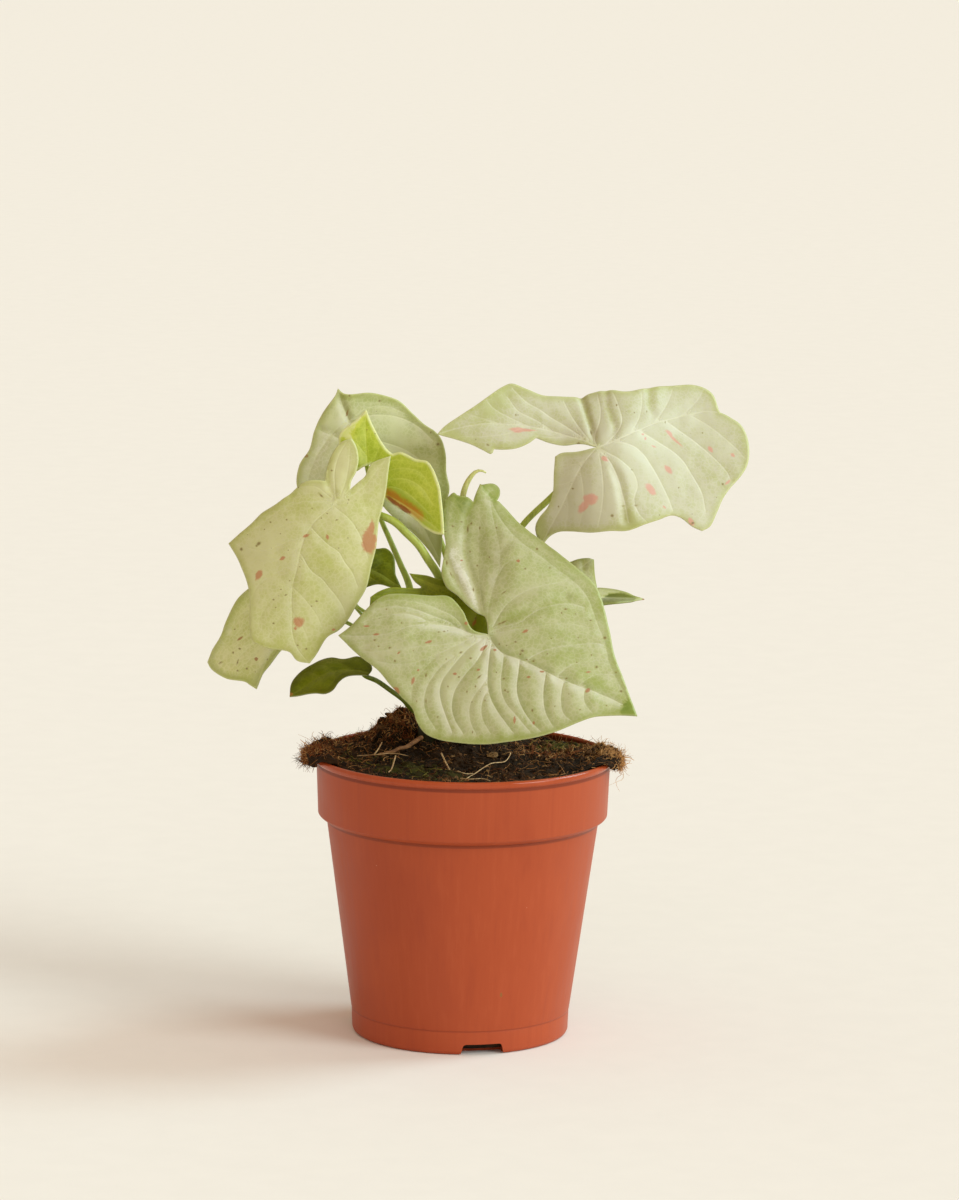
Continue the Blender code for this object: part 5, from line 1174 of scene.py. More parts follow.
def build_crumbs(sizes, finish):
    """Crumbs and small lumps of the potting mix, pressed into its top."""
    rand = random.Random(11)
    tree = soil_tree()
    bm = bmesh.new()
    kind = bm.verts.layers.float.new("kind")
    for made in range(sizes.crumbs):
        turn, out = rand.uniform(0, 2 * math.pi), math.sqrt(rand.random()) * 56.8 * MM
        x, y = out * math.cos(turn), out * math.sin(turn)
        size = MM * (0.3 + 1.1 * rand.random() ** 3)
        value = rand.random() ** 1.6
        if made < len(CHUNKS):
            x, y, size, value = (v * MM for v in CHUNKS[made])
        found = on_soil(tree, x, y)
        if not found:
            continue
        place, normal = found
        shape = Matrix.Diagonal(
            (rand.uniform(0.7, 1.5), rand.uniform(0.6, 1.1), rand.uniform(0.45, 0.9), 1.0))
        spin = Matrix.Rotation(rand.uniform(0, 6.28), 4, "Z") @ Matrix.Rotation(
            rand.uniform(-0.7, 0.7), 4, "X")
        where = Matrix.Translation(place + normal * size * rand.uniform(-0.1, 0.35))
        before = len(bm.verts)
        bmesh.ops.create_icosphere(bm, subdivisions=1, radius=size, matrix=where @ spin @ shape)
        bm.verts.ensure_lookup_table()
        if made >= len(CHUNKS) and mossy(x / MM, y / MM) > rand.uniform(0.25, 1.1):
            value = 2.0 + rand.random()
        for vert in bm.verts[before:]:
            vert.co += Vector([rand.uniform(-0.22, 0.22) * size for _ in range(3)])
            vert[kind] = value
    return into_place(mesh_object("crumbs", bm, finish), "soil")


def soil_tree():
    """A search tree of the finished soil."""
    bm = bmesh.new()
    bm.from_mesh(bpy.data.objects["root_ball"].data)
    tree = BVHTree.FromBMesh(bm)
    bm.free()
    return tree


def curl(rand, start, heading, length, radius, bend, rise, steps=7):
    """Route of one curly fibre from a start, as (x, y, z, radius) in metres."""
    route = []
    place = Vector(start)
    way = Vector(heading).normalized()
    swing = random_way(rand).normalized()
    for k in range(steps):
        share = k / (steps - 1)
        route.append((*place, radius * (1.0 - 0.6 * share)))
        way = (way + swing * bend + Vector((0, 0, rise * (0.5 - share)))).normalized()
        if rand.random() < 0.3:
            swing = random_way(rand).normalized()
        place = place + way * (length / steps)
    return route


def thick_with_fibre(x, y):
    """How thickly fibre lies at a place, and how much it hangs."""
    times, hang = 1.0, 0.0
    for *where, more, drop in TUFTS:
        share = hill(x, y, *where)
        times += more * share
        hang += drop * share
    return times, hang


def build_fibres(name, loose, sizes, finish):
    """Fine coir fibres on the soil: the mat that lies on it, or the loose hairs that stick out."""
    rand = random.Random(len(name))
    tree = soil_tree()
    mesh = bpy.data.objects["root_ball"].data
    ground = [f for f in mesh.polygons if f.center.z > 0.108 and f.normal.z > -0.4
              and not (57.2 * MM < f.center.xy.length and f.center.z < 0.1136
                       and f.center.xy.length < 60.2 * MM)]
    spread = [thick_with_fibre(f.center.x / MM, f.center.y / MM) for f in ground]
    weights = [f.area * (times ** 1.3 if loose else times) for f, (times, _) in zip(ground, spread)]
    routes, kinds = [], []
    for index in rand.choices(range(len(ground)), weights, k=sizes.fibres):
        face, (times, hang) = ground[index], spread[index]
        x, y, _ = face.center / MM
        start = face.center + face.normal * 0.15 * MM
        around = math.hypot(x, y)
        free = random_way(rand)
        flat = free - face.normal * free.dot(face.normal)
        thick = times > 3
        stand = rand.uniform(0.1, 0.7) if loose else rand.uniform(0.0, 0.25)
        heading = flat.normalized() + face.normal * stand
        length = MM * (1.6 + (5.0 if thick else 9.0) * rand.random() ** 2)
        if loose and rand.random() < 0.05:
            length *= 1.7 if hang < 0.6 else 3.4
        radius = MM * rand.uniform(0.06, 0.12 if loose else 0.2)
        rise = -0.9 * hang if around > 57 and hang > 0.2 else (0.0 if loose else -0.15)
        route = curl(rand, start, heading, length, radius, 0.75 if thick else 0.5, rise)
        kind = rand.random() ** (0.6 if thick else 1.5)
        kind *= max(0.2, min(1.3, 0.85 + 1.6 * noise.noise(Vector((x, y, 7.0)) / 3.5)))
        if thick and rand.random() < 0.3:
            kind = 1.05
        elif thick and rand.random() < 0.16:
            kind = 0.93
            route = [(*place, 1.5 * wide) for *place, wide in route]
        # Fibres over the right of the rim are lighter: their tan colour, with painted light where light
        # falls on them from the right.
        if x > 30 and around > 50:
            kind = min(0.95, 0.35 + 0.75 * kind)
        if mossy(x, y) > rand.uniform(0.2, 1.1):
            kind = 2.0 + rand.random()
        routes.append(clear_of_rim(route) if around > WALL_IN else on_top(tree, route, loose))
        kinds.append(kind)
    made = rods(name, routes, 0, finish)
    shade_strands(made, routes, kinds)
    return into_place(made, "soil")


def on_top(tree, route, loose):
    """Lift a fibre's points that run under the soil, and let high ones sink towards it."""
    laid = []
    reach = (6.0 if loose else 1.0) * MM
    for x, y, z, radius in route:
        found = on_soil(tree, x, y)
        if found and math.hypot(x, y) < WALL_IN * MM:
            ground = found[0].z + radius * 0.4
            z = ground if z < ground else ground + min(z - ground, reach)
        elif math.hypot(x, y) < 61 * MM:
            z = max(z, 113.9 * MM)
        laid.append((x, y, z, radius))
    return laid


def clear_of_rim(route):
    """Keep a tuft's fibre off the pot's rim."""
    laid = []
    for x, y, z, radius in route:
        around = math.hypot(x, y)
        if around < 60.5 * MM:
            z = max(z, LIP_TOP * MM + radius)
        elif z < LIP_TOP * MM and around < LIP_OUT * MM:
            x, y = x * LIP_OUT * MM / around, y * LIP_OUT * MM / around
        laid.append((x, y, z, radius))
    return laid


def shade_strands(made, routes, kinds):
    """Give each strand its own shade, read by the nearest route point."""
    tree = KDTree(sum(len(r) for r in routes))
    number = 0
    owner = []
    for index, route in enumerate(routes):
        for x, y, z, _ in route:
            tree.insert((x, y, z), number)
            owner.append(index)
            number += 1
    tree.balance()
    values = [kinds[owner[tree.find(v.co)[1]]] for v in made.data.vertices]
    keep_numbers(made.data, kind=values)


def build_straws(finish):
    """The few straws that lie on top of the mix."""
    tree = soil_tree()
    routes = []
    for radius, points in STRAWS:
        held = []
        for x, y, lift in points:
            found = on_soil(tree, x * MM, y * MM)
            held.append((x, y, (found[0].z / MM if found else 113.0) + lift))
        route = [(*(place * MM), radius * MM) for place in smooth_arc(held, 1.5)]
        route[-1] = (*route[-1][:3], route[-1][3] * 0.5)
        routes.append(route)
    return into_place(rods("straws", routes, 1, finish), "soil")


def build_dead_stalk(finish):
    """The dry leaf stalk on the soil."""
    points = []
    for x, y in smooth_arc(DEAD_STALK, 1.0):
        crest = max(soil_height(x + dx, y + dy) for dx in (-2, 0, 2) for dy in (-2, 0, 2))
        share = (x - DEAD_STALK[0][0]) / (DEAD_STALK[-1][0] - DEAD_STALK[0][0])
        radius = DEAD_STALK_RADIUS * (0.7 + 0.35 * share + 0.06 * math.sin(x * 1.9))
        height = crest + DEAD_STALK_RADIUS + 0.1 + 1.6 * share
        points.append((x * MM, y * MM, height * MM, radius * MM))
    return into_place(rods("dry_leaf_stalk", [points], 3, finish), "dry_stalk", "dead_stalk")


def srgb(red, green, blue):
    """Linear colour with full alpha from 8-bit screen values."""
    def linear(value):
        value /= 255
        return value / 12.92 if value <= 0.04045 else ((value + 0.055) / 1.055) ** 2.4
    return (linear(red), linear(green), linear(blue), 1)


def put(tree, kind, inputs=None, **settings):
    """Add a node, with its settings, and its inputs set or linked."""
    node = tree.nodes.new(kind)
    for name, value in settings.items():
        setattr(node, name, value)
    for key, value in (inputs or {}).items():
        if isinstance(value, bpy.types.NodeSocket):
            tree.links.new(value, node.inputs[key])
        else:
            node.inputs[key].default_value = value
    return node


def blend(tree, share, first, second):
    """One colour over another."""
    return put(tree, "ShaderNodeMix", {0: share, 6: first, 7: second}, data_type="RGBA").outputs[2]


class Skin:
    """A material being made, with a colour that grows coat by coat."""

    def __init__(self, name, rough, **sockets):
        self.made = bpy.data.materials.new(name)
        self.made.use_nodes = True
        self.tree = self.made.node_tree
        self.shader = self.tree.nodes["Principled BSDF"]
        self.colour = None
        for key, value in {"Roughness": rough, **sockets}.items():
            self.shader.inputs[key.replace("_", " ")].default_value = value

    def number(self, name):
        """A number kept on the mesh."""
        return put(self.tree, "ShaderNodeAttribute", attribute_name=name).outputs["Fac"]

    def ramp(self, value, low, high, first=0, last=1):
        """A soft step of a number between two values."""
        return put(self.tree, "ShaderNodeMapRange",
                   {"Value": value, "From Min": low, "From Max": high, "To Min": first,
                    "To Max": last}, interpolation_type="SMOOTHSTEP").outputs["Result"]

    def maths(self, operation, first, second=0, clamp=False):
        """Two numbers combined."""
        return put(self.tree, "ShaderNodeMath", {0: first, 1: second}, operation=operation,
                   use_clamp=clamp).outputs[0]

    def times(self, first, second, clamp=False):
        """One number times another."""
        return self.maths("MULTIPLY", first, second, clamp)

    def plus(self, first, second, clamp=False):
        """Two numbers added."""
        return self.maths("ADD", first, second, clamp)

    def minus(self, first, second):
        """The second number taken from the first."""
        return self.maths("SUBTRACT", first, second)

    def sway(self, pattern, amount):
        """A pattern from 0 to 1 as a swing about 0."""
        return self.times(self.minus(pattern, 0.5), amount)

    def place(self):
        """The place on the piece, in metres."""
        return put(self.tree, "ShaderNodeTexCoord").outputs["Object"]

    def height(self):
        """The height over the table, in metres."""
        return put(self.tree, "ShaderNodeSeparateXYZ", {"Vector": self.place()}).outputs["Z"]

    def reach(self, stretch, move=(0, 0, 0)):
        """The length of the place, once stretched and moved."""
        place = put(self.tree, "ShaderNodeMapping", {
            "Vector": self.place(), "Location": move, "Scale": stretch}).outputs[0]
        return put(self.tree, "ShaderNodeVectorMath", {0: place}, operation="LENGTH").outputs["Value"]

    def grain(self, scale, detail=2, rough=0.5, stretch=(1, 1, 1), twist=0):
        """Noise fixed to the piece, with features about 1/scale metres across."""
        place = put(self.tree, "ShaderNodeMapping", {"Vector": self.place(), "Scale": stretch}).outputs[0]
        return put(self.tree, "ShaderNodeTexNoise", {
            "Vector": place, "Scale": scale, "Detail": detail, "Roughness": rough,
            "Distortion": twist}).outputs["Fac"]

    def coat(self, share, colour):
        """Lay a colour over what is there."""
        self.colour = blend(self.tree, share, self.colour, colour)

    def tint(self, value, low, high, amount, colour):
        """Lay a colour on where a number passes from `low` to `high`."""
        self.coat(self.ramp(value, low, high, 0, amount), colour)

    def dust(self, scale, rare, size, soft, amount, colour):
        """Strew round dots; `rare` is the share of cells left without one."""
        cells = put(self.tree, "ShaderNodeTexVoronoi", {"Vector": self.place(), "Scale": scale})
        draw = put(self.tree, "ShaderNodeSeparateColor", {"Color": cells.outputs["Color"]})
        radius = self.ramp(draw.outputs[0], rare, 1, 0, size)
        spot = self.ramp(self.minus(cells.outputs["Distance"], radius), 0, -soft)
        self.coat(self.times(spot, amount), colour)

    def feed(self, value, socket):
        """Link a pattern into the shader."""
        self.tree.links.new(value, self.shader.inputs[socket])

    def done(self, relief=None, strength=1, depth=0):
        """The finished material, with its colour and a small relief of `depth` mm."""
        self.feed(self.colour, "Base Color")
        if relief is not None:
            bump = put(
                self.tree, "ShaderNodeBump",
                {"Height": relief, "Strength": strength, "Distance": depth * MM})
            self.feed(bump.outputs[0], "Normal")
        return self.made


def leaf_finish(name, look, sizes, under=False):
    """Blade skin: marbled pale and green, with veins, a green margin, blushes and specks, and painted light
    and shade beside the veins and folds.
    """
    skin = Skin(name, look["rough"] + (0.12 if under else 0), Subsurface_Weight=look["glow"],
                Subsurface_Radius=(1, 1.1, 0.35), Subsurface_Scale=look["deep_glow"] * MM,
                Specular_IOR_Level=look["sheen"] * (0.8 if under else 1))
    near, side = skin.number("vein_near"), skin.number("vein_side")
    drawn = skin.times(skin.times(skin.number("vein_force"), skin.ramp(near, 1.3, 0.7)),
                       skin.ramp(skin.maths("ABSOLUTE", side), look["vein_width"], 0.1))
    lean = put(skin.tree, "ShaderNodeMix", {
        0: skin.ramp(side, -0.22, 0.22), 2: skin.number("lean_two"), 3: skin.number("lean_one")}).outputs[0]
    edge = skin.number("edge")
    broad = skin.grain(85, 3, 0.55, twist=0.4)
    mottle = skin.grain(380, 4, 0.65)
    net = put(skin.tree, "ShaderNodeTexVoronoi", {"Vector": skin.place(), "Scale": 560},
              feature="DISTANCE_TO_EDGE").outputs["Distance"]
    share = skin.plus(skin.times(skin.number("tone"), look["range"]), look["base"])
    for part in (skin.times(skin.ramp(near, 0.6, 4.8), look["panel"]),
                 skin.sway(broad, look["cloud"]), skin.sway(mottle, look["cloud"])):
        share = skin.plus(share, part)
    share = skin.minus(share, skin.ramp(net, 0.16, 0.02, -0.1, look["net"]))
    skin.colour = look["pale"]
    skin.tint(share, -0.1, 1, 1, look["green"])
    skin.tint(share, 0.9, 2.2, 0.9, look["deep"])
    skin.tint(share, -0.3, -1.2, 0.8, look["light"])
    # Painted light and shade: the lit slopes beside veins and folds turn pale, the shaded slopes deep
    # green.
    skin.tint(lean, 0, 0.9, look["lean"], look["light"])
    skin.tint(lean, 0, -0.8, look["shade"], look["deep"])
    skin.tint(skin.plus(edge, skin.times(broad, 2.2)), 4.4, 1.4, look["margin_amount"], look["margin"])
    skin.coat(skin.times(drawn, look["vein_amount"], clamp=True), look["vein"])
    skin.tint(edge, look["rim_width"], 0.3, look["rim_amount"], look["rim"])
    wobble = skin.sway(mottle, 1.1)
    skin.tint(skin.plus(skin.number("blush"), wobble), -0.15, 0.3, sizes.blush, look["blush"])
    speck = skin.plus(skin.number("speck"), wobble)
    skin.tint(speck, -0.6, 0, 0.4, srgb(150, 138, 72))
    skin.tint(speck, -0.05, 0.5, 0.65, look["speck"])
    skin.dust(sizes.dust, 0.6, 0.1, 0.03, 0.6, look["speck"])
    if under:
        skin.coat(look["chalk"], srgb(196, 204, 172))
    pores = skin.times(skin.grain(2600, 2, 0.6), 0.22)
    return skin.done(skin.minus(pores, drawn), 1, 0.12)


def stalk_finish(name, low, high, rough=0.4):
    """Green leaf-stalk skin, lighter towards the leaves, with fine lengthwise streaks and painted shade
    where the stalks meet the soil.
    """
    skin = Skin(name, rough, Subsurface_Weight=0.15, Subsurface_Radius=(0.8, 1, 0.3),
                Subsurface_Scale=1.2 * MM)
    height = skin.height()
    streak = skin.grain(900, 3, 0.6, (1, 1, 0.06))
    cloud = skin.sway(skin.grain(120, 3, 0.6), 0.8)
    skin.colour = low
    skin.coat(skin.plus(skin.ramp(height, 0.118, 0.205), cloud, clamp=True), high)
    skin.tint(streak, 0.52, 0.7, 0.4, srgb(182, 190, 100))
    skin.tint(streak, 0.46, 0.3, 0.35, srgb(66, 74, 10))
    # Near-black just above the soil: a browner foot, with painted shade where the stalks stand under the
    # leaves.
    skin.tint(height, 0.13, 0.121, 0.92, srgb(34, 26, 10))
    return skin.done(streak, 0.25, 0.15)


def pot_finish(sizes):
    """Terracotta-coloured moulded plastic: satin, with flow lines, faint clouds and scuffs, painted shadow
    under the lip and the band, and painted shade with soil stain inside the rim.
    """
    skin = Skin("pot_plastic", 0.36, Specular_IOR_Level=0.3)
    flow = skin.grain(420, 3, 0.6, (1, 1, 0.03))
    cloud = skin.grain(45, 4, 0.6, (1, 1, 0.6))
    smear = skin.grain(18, 2, 0.5, twist=0.6)
    height = skin.height()
    seam = skin.maths("ABSOLUTE", skin.minus(height, 0.0095))
    skin.colour = (*sizes.colour, 1)
    skin.tint(flow, 0.5, 0.72, 0.16, srgb(190, 94, 56))
    skin.tint(flow, 0.48, 0.3, 0.14, srgb(140, 52, 28))
    skin.tint(cloud, 0.5, 0.75, 0.2, srgb(182, 84, 46))
    skin.tint(smear, 0.5, 0.32, 0.22, srgb(150, 56, 28))
    skin.tint(seam, 0.0006, 0.0002, 0.35, srgb(130, 52, 30))
    # Painted shadow: dark lines under the lip and under the band's step, where shade falls.
    for low, high, amount in ((0.1095, 0.1105, 0.6), (0.0864, 0.0877, 0.5)):
        crease = skin.times(
            skin.ramp(height, low - 0.0006, low), skin.ramp(height, high + 0.0002, high - 0.0002))
        skin.coat(skin.times(crease, amount), srgb(88, 28, 12))
    # The inside of the wall below the rim is darker: painted shade, with the soil's stain.
    inner = skin.times(skin.ramp(height, 0.096, 0.1), skin.ramp(height, 0.1128, 0.1122, 0, 0.75))
    around = skin.reach((1, 1, 0))
    skin.coat(skin.times(inner, skin.ramp(around, 0.0584, 0.0579)), srgb(62, 30, 18))
    skin.dust(150, 0.7, 0.05, 0.02, 0.55, srgb(222, 170, 138))
    stain = skin.reach((2, 1, 1), (-0.0163 * 2, 0.0431, -0.0247))
    skin.tint(stain, 0.0012, 0.0007, 0.6, srgb(120, 104, 48))
    polish = skin.plus(skin.ramp(smear, 0.3, 0.7, 0.4, 0.5), skin.ramp(flow, 0.3, 0.7, -0.03, 0.04))
    skin.feed(skin.minus(polish, skin.ramp(height, 0.1106, 0.1112, 0, 0.26)), "Roughness")
    return skin.done(flow, 0.12, 0.12)


def earth_finish(sizes):
    """Damp peat, dark with browner fibre and patches of green."""
    skin = Skin("potting_mix", 0.92, Specular_IOR_Level=0.15)
    clump = skin.grain(160, 6, 0.7)
    fine = skin.grain(900, 5, 0.75)
    region = skin.grain(32, 2, 0.5)
    skin.colour = (*sizes.dark, 1)
    skin.tint(clump, 0.42, 0.68, 1, srgb(48, 32, 16))
    skin.tint(fine, 0.55, 0.72, 0.55, srgb(92, 66, 36))
    skin.tint(region, 0.5, 0.68, 0.5, srgb(66, 42, 20))
    place, green = skin.place(), 0
    for across, back, reach, amount in MOSS:
        away = put(skin.tree, "ShaderNodeVectorMath", {0: place, 1: (
            across * MM, back * MM, 0.112)}, operation="DISTANCE").outputs["Value"]
        patch = skin.ramp(away, reach * 1.5 * MM, reach * 0.5 * MM, 0, amount)
        green = skin.maths("MAXIMUM", green, patch)
    skin.coat(skin.times(green, skin.ramp(clump, 0.4, 0.58)), (*sizes.moss, 1))
    return skin.done(fine, 0.8, 0.6)


def bits_finish(name, sizes, rough, soot, dim):
    """Crumbs and fibres, each with its own shade of brown, or green where it is mossy."""
    skin = Skin(name, rough, Specular_IOR_Level=0.2)
    fine = skin.grain(1400, 3, 0.6)
    shades = put(skin.tree, "ShaderNodeValToRGB", {"Fac": skin.times(skin.number("kind"), 1 / 3)})
    stops = [(0, (46, 28, 12)), (0.1, (92, 58, 28)), (0.18, (132, 86, 44)),
             (0.26, (172, 120, 68)), (0.31, (206, 158, 100)), (0.34, (134, 70, 30)),
             (0.66, (52, 50, 16)), (0.8, (92, 88, 30)), (1, (136, 128, 52))]
    band = shades.color_ramp
    for k, (place, shade) in enumerate(stops):
        stop = band.elements[k] if k < 2 else band.elements.new(place)
        stop.position = place
        stop.color = srgb(*(level * dim for level in shade))
    skin.colour = shades.outputs["Color"]
    skin.tint(fine, 0.35, 0.7, soot, (*sizes.dark, 1))
    return skin.done(fine, 0.5, 0.2)


def dry_finish(name, pale, dark):
    """Dry straw or stalk, streaked along its length."""
    skin = Skin(name, 0.7)
    streak = skin.grain(700, 4, 0.7, (0.25, 1, 1))
    skin.colour = dark
    skin.tint(streak, 0.35, 0.65, 1, pale)
    skin.tint(skin.grain(150, 3, 0.6), 0.5, 0.75, 0.5, dark)
    return skin.done(streak, 0.6, 0.25)


def paper_finish(sizes):
    """Matt backdrop paper."""
    skin = Skin("paper", 0.95, Specular_IOR_Level=0.1)
    skin.colour = (*sizes.colour, 1)
    skin.tint(skin.grain(60, 4, 0.6), 0.3, 0.7, 1, (*(level * 0.985 for level in sizes.colour), 1))
    return skin.done()


def look(pale, green, vein, margin, **more):
    """Colours and amounts of one kind of blade."""
    made = {
        "pale": srgb(*pale), "green": srgb(*green), "vein": srgb(*vein), "margin": srgb(*margin),
        # deep is the darkest green and also the colour of painted shade; light is the palest tint and also
        # the colour of painted light.
        "deep": srgb(106, 126, 34), "light": srgb(226, 226, 206), "rim": srgb(214, 216, 160),
        "blush": srgb(168, 106, 66), "speck": srgb(108, 84, 34), "rough": 0.46, "glow": 0.12,
        "deep_glow": 0.9, "base": 0.3, "range": 0.42, "panel": 0.12, "cloud": 0.95, "net": 0.15,
        "margin_amount": 0.5, "vein_amount": 0.55, "vein_width": 0.5, "rim_amount": 0.4, "chalk": 0.3,
        "lean": 0.7, "shade": 0.3, "sheen": 0.42, "rim_width": 0.8}
    for name, value in more.items():
        made[name] = srgb(*value) if isinstance(value, tuple) else value
    return made


def build_stage(sizes):
    """One flat sheet of paper, wide enough to fill the view from every side."""
    bm = bmesh.new()
    bmesh.ops.create_grid(bm, x_segments=1, y_segments=1, size=FLOOR_REACH)
    mesh_object("paper", bm, paper_finish(sizes))


def add_light(name, place, spread, strength, colour):
    """A far softbox that lights the plant and the whole floor evenly from one side."""
    lamp = bpy.data.lights.new(name, "SUN")
    lamp.angle = math.radians(spread)
    lamp.energy = strength
    lamp.color = colour
    held = linked(name, lamp)
    held.location = place
    held.rotation_euler = (-Vector(place)).to_track_quat("-Z", "Y").to_euler()


def build_lights(sizes):
    """Cool softboxes at the right, in front and behind, and a warm room."""
    add_light("softbox_right", (1.65, -0.95, 0.95), 31.0, sizes.key, (0.82, 0.95, 0.98))
    add_light("softbox_front", (0.2, -1.6, 1.2), 40.0, sizes.fill, (0.84, 0.84, 1.0))
    add_light("softbox_back", (1.4, 0.5, 1.2), 26.0, sizes.rear, (0.64, 0.9, 1.0))
    world = bpy.data.worlds.new("pale_room")
    world.use_nodes = True
    tree = world.node_tree
    seen_room = put(tree, "ShaderNodeLightPath").outputs["Is Camera Ray"]
    warm = tuple(sizes.room * level for level in (1.0, 0.79, 0.6))
    tree.links.new(blend(tree, seen_room, (*warm, 1.0), srgb(243, 237, 225)),
                   tree.nodes["Background"].inputs["Color"])
    bpy.context.scene.world = world
    bpy.context.scene.view_settings.view_transform = "Standard"


def build_camera():
    """The camera at the viewing place of the outlines."""
    lens = bpy.data.cameras.new("camera")
    lens.lens = EYE_FOCAL
    lens.sensor_width = EYE_SENSOR
    lens.clip_end = 20.0
    held = linked("camera", lens)
    held.matrix_world = (
        Matrix.Translation(Vector((EYE_ACROSS, -EYE_BACK, EYE_UP)) * MM)
        @ Matrix.Rotation(math.radians(90.0 - EYE_PITCH), 4, "X")
        @ Matrix.Rotation(math.radians(EYE_ROLL), 4, "Z"))
    bpy.context.scene.camera = held


# Colours and amounts of each kind of blade
LOOKS = {
    "front": look(
        (184, 185, 140), (152, 161, 86), (212, 212, 180), (138, 150, 58), vein_amount=0.4, lean=0.5,
        light=(224, 223, 206), rim=(190, 194, 132)),
    "cream": look(
        (190, 187, 156), (170, 171, 112), (214, 212, 184), (166, 170, 92), blush=(204, 146, 126),
        deep=(144, 144, 60), base=0.12, lean=0.3, shade=0.15, light=(214, 214, 190)),
    "left": look(
        (200, 199, 146), (178, 182, 100), (212, 212, 164), (164, 168, 76), blush=(180, 116, 74),
        deep=(136, 134, 52), lean=0.3, shade=0.1, vein_amount=0.4, light=(212, 214, 176)),
    "upper": look(
        (199, 203, 155), (164, 174, 102), (216, 219, 178), (152, 159, 62), deep=(124, 128, 44),
        base=0.2, blush=(150, 120, 60), lean=0.4, glow=0.3),
    "low": look(
        (220, 222, 170), (192, 200, 120), (216, 220, 170), (148, 160, 60), deep=(104, 108, 34),
        base=0.3, blush=(160, 104, 60), glow=0.25),
    "behind": look(
        (200, 198, 150), (172, 174, 104), (206, 208, 158), (138, 146, 52), deep=(84, 92, 0), base=0.3,
        blush=(160, 104, 60), rim=(164, 168, 96), margin_amount=0.3, chalk=0.0),
    "young": look(
        (196, 204, 80), (162, 178, 42), (214, 220, 114), (178, 192, 58), blush=(140, 54, 18),
        deep=(190, 124, 36), light=(222, 226, 164), rim=(228, 230, 184), rim_width=1.4, rough=0.5,
        glow=0.5, deep_glow=1.5, chalk=0.0, margin_amount=0.3, rim_amount=0.7, lean=0.3, shade=0.0),
    "dark": look(
        (118, 128, 10), (86, 94, 0), (134, 140, 40), (82, 86, 2), deep=(54, 58, 0),
        light=(176, 176, 80), rim=(124, 126, 38), rough=0.42, glow=0.05, deep_glow=0.6, base=0.4,
        blush=(160, 112, 50), lean=0.35, sheen=0.16),
    # Blades deep in the plant's shade: colours lighter than their own, painted light to make up for the
    # shade they lie in.
    "shaded": look(
        (138, 146, 24), (96, 106, 4), (152, 158, 54), (84, 94, 2), deep=(66, 76, 0),
        light=(186, 188, 94), rim=(148, 152, 60), rough=0.42, glow=0.3, deep_glow=1.2, base=0.35,
        blush=(176, 110, 50), lean=0.4, sheen=0.16),
}


class PotSizes(PropertyGroup):
    """Sizes and colour of the pot."""
    top: FloatProperty(
        name="Height", description="Height of the pot", unit="LENGTH", default=POT_HIGH.z, min=0.02)
    rim_radius: FloatProperty(
        name="Rim radius", description="Outer radius of the rim", unit="LENGTH",
        default=(POT_HIGH.x - POT_LOW.x) / 2, min=0.02)
    wall: FloatProperty(
        name="Wall", description="Thickness of the wall", unit="LENGTH", default=0.0013, min=0.0005)
    steps: IntProperty(name="Steps", description="Flat sides round the pot", default=144, min=24)
    colour: FloatVectorProperty(
        name="Colour", description="Colour of the plastic", subtype="COLOR", min=0.0, max=1.0,
        default=srgb(170, 73, 36)[:3])


class SoilSizes(PropertyGroup):
    """The potting mix."""
    crumbs: IntProperty(name="Crumbs", description="Number of crumbs on top", default=1300, min=0)
    fibres: IntProperty(
        name="Fibres", description="Number of fibres in each of the two layers", default=3100, min=0)
    lumps: FloatProperty(name="Lumps", description="Height of the lumps in the soil's top",
                         unit="LENGTH", default=0.0013, min=0.0)
    dark: FloatVectorProperty(
        name="Dark", description="Colour of the damp peat", subtype="COLOR", min=0.0, max=1.0,
        default=srgb(28, 19, 9)[:3])
    moss: FloatVectorProperty(
        name="Moss", description="Colour of the mossy patches", subtype="COLOR", min=0.0, max=1.0,
        default=srgb(78, 76, 26)[:3])


class StalkSizes(PropertyGroup):
    """Stems and leaf stalks."""
    route_step: FloatProperty(
        name="Step", description="Distance between rings along a stalk", unit="LENGTH", default=0.0016,
        min=0.0005)
    low: FloatVectorProperty(name="Foot", description="Colour of the stalks near the soil",
                             subtype="COLOR", min=0.0, max=1.0, default=srgb(96, 110, 20)[:3])
    high: FloatVectorProperty(
        name="Top", description="Colour of the stalks near the leaves", subtype="COLOR", min=0.0,
        max=1.0, default=srgb(170, 184, 72)[:3])


class LeafSizes(PropertyGroup):
    """The blades and what shows on them."""
    thickness: FloatProperty(
        name="Thickness", description="Thickness of a blade", unit="LENGTH", default=0.0005, min=0.0002)
    mesh_step: FloatProperty(name="Mesh step", description="Distance between a blade's corners",
                             unit="LENGTH", default=0.0008, min=0.0004)
    vein_depth: FloatProperty(
        name="Vein depth", description="Depth of the pressed veins", unit="LENGTH", default=0.0008,
        min=0.0)
    puff: FloatProperty(name="Puff", description="Height of the blade between its veins",
                        unit="LENGTH", default=0.0008, min=0.0)
    swell: FloatProperty(name="Swell", description="Height of the blade's slow waves",
                         unit="LENGTH", default=0.0006, min=0.0)
    blush: FloatProperty(name="Blush", description="Strength of the pink and brown patches",
                         subtype="FACTOR", default=0.8, min=0.0, max=1.0)
    dust: FloatProperty(
        name="Dust", description="Fine freckles in a metre of blade", default=300.0, min=1.0)


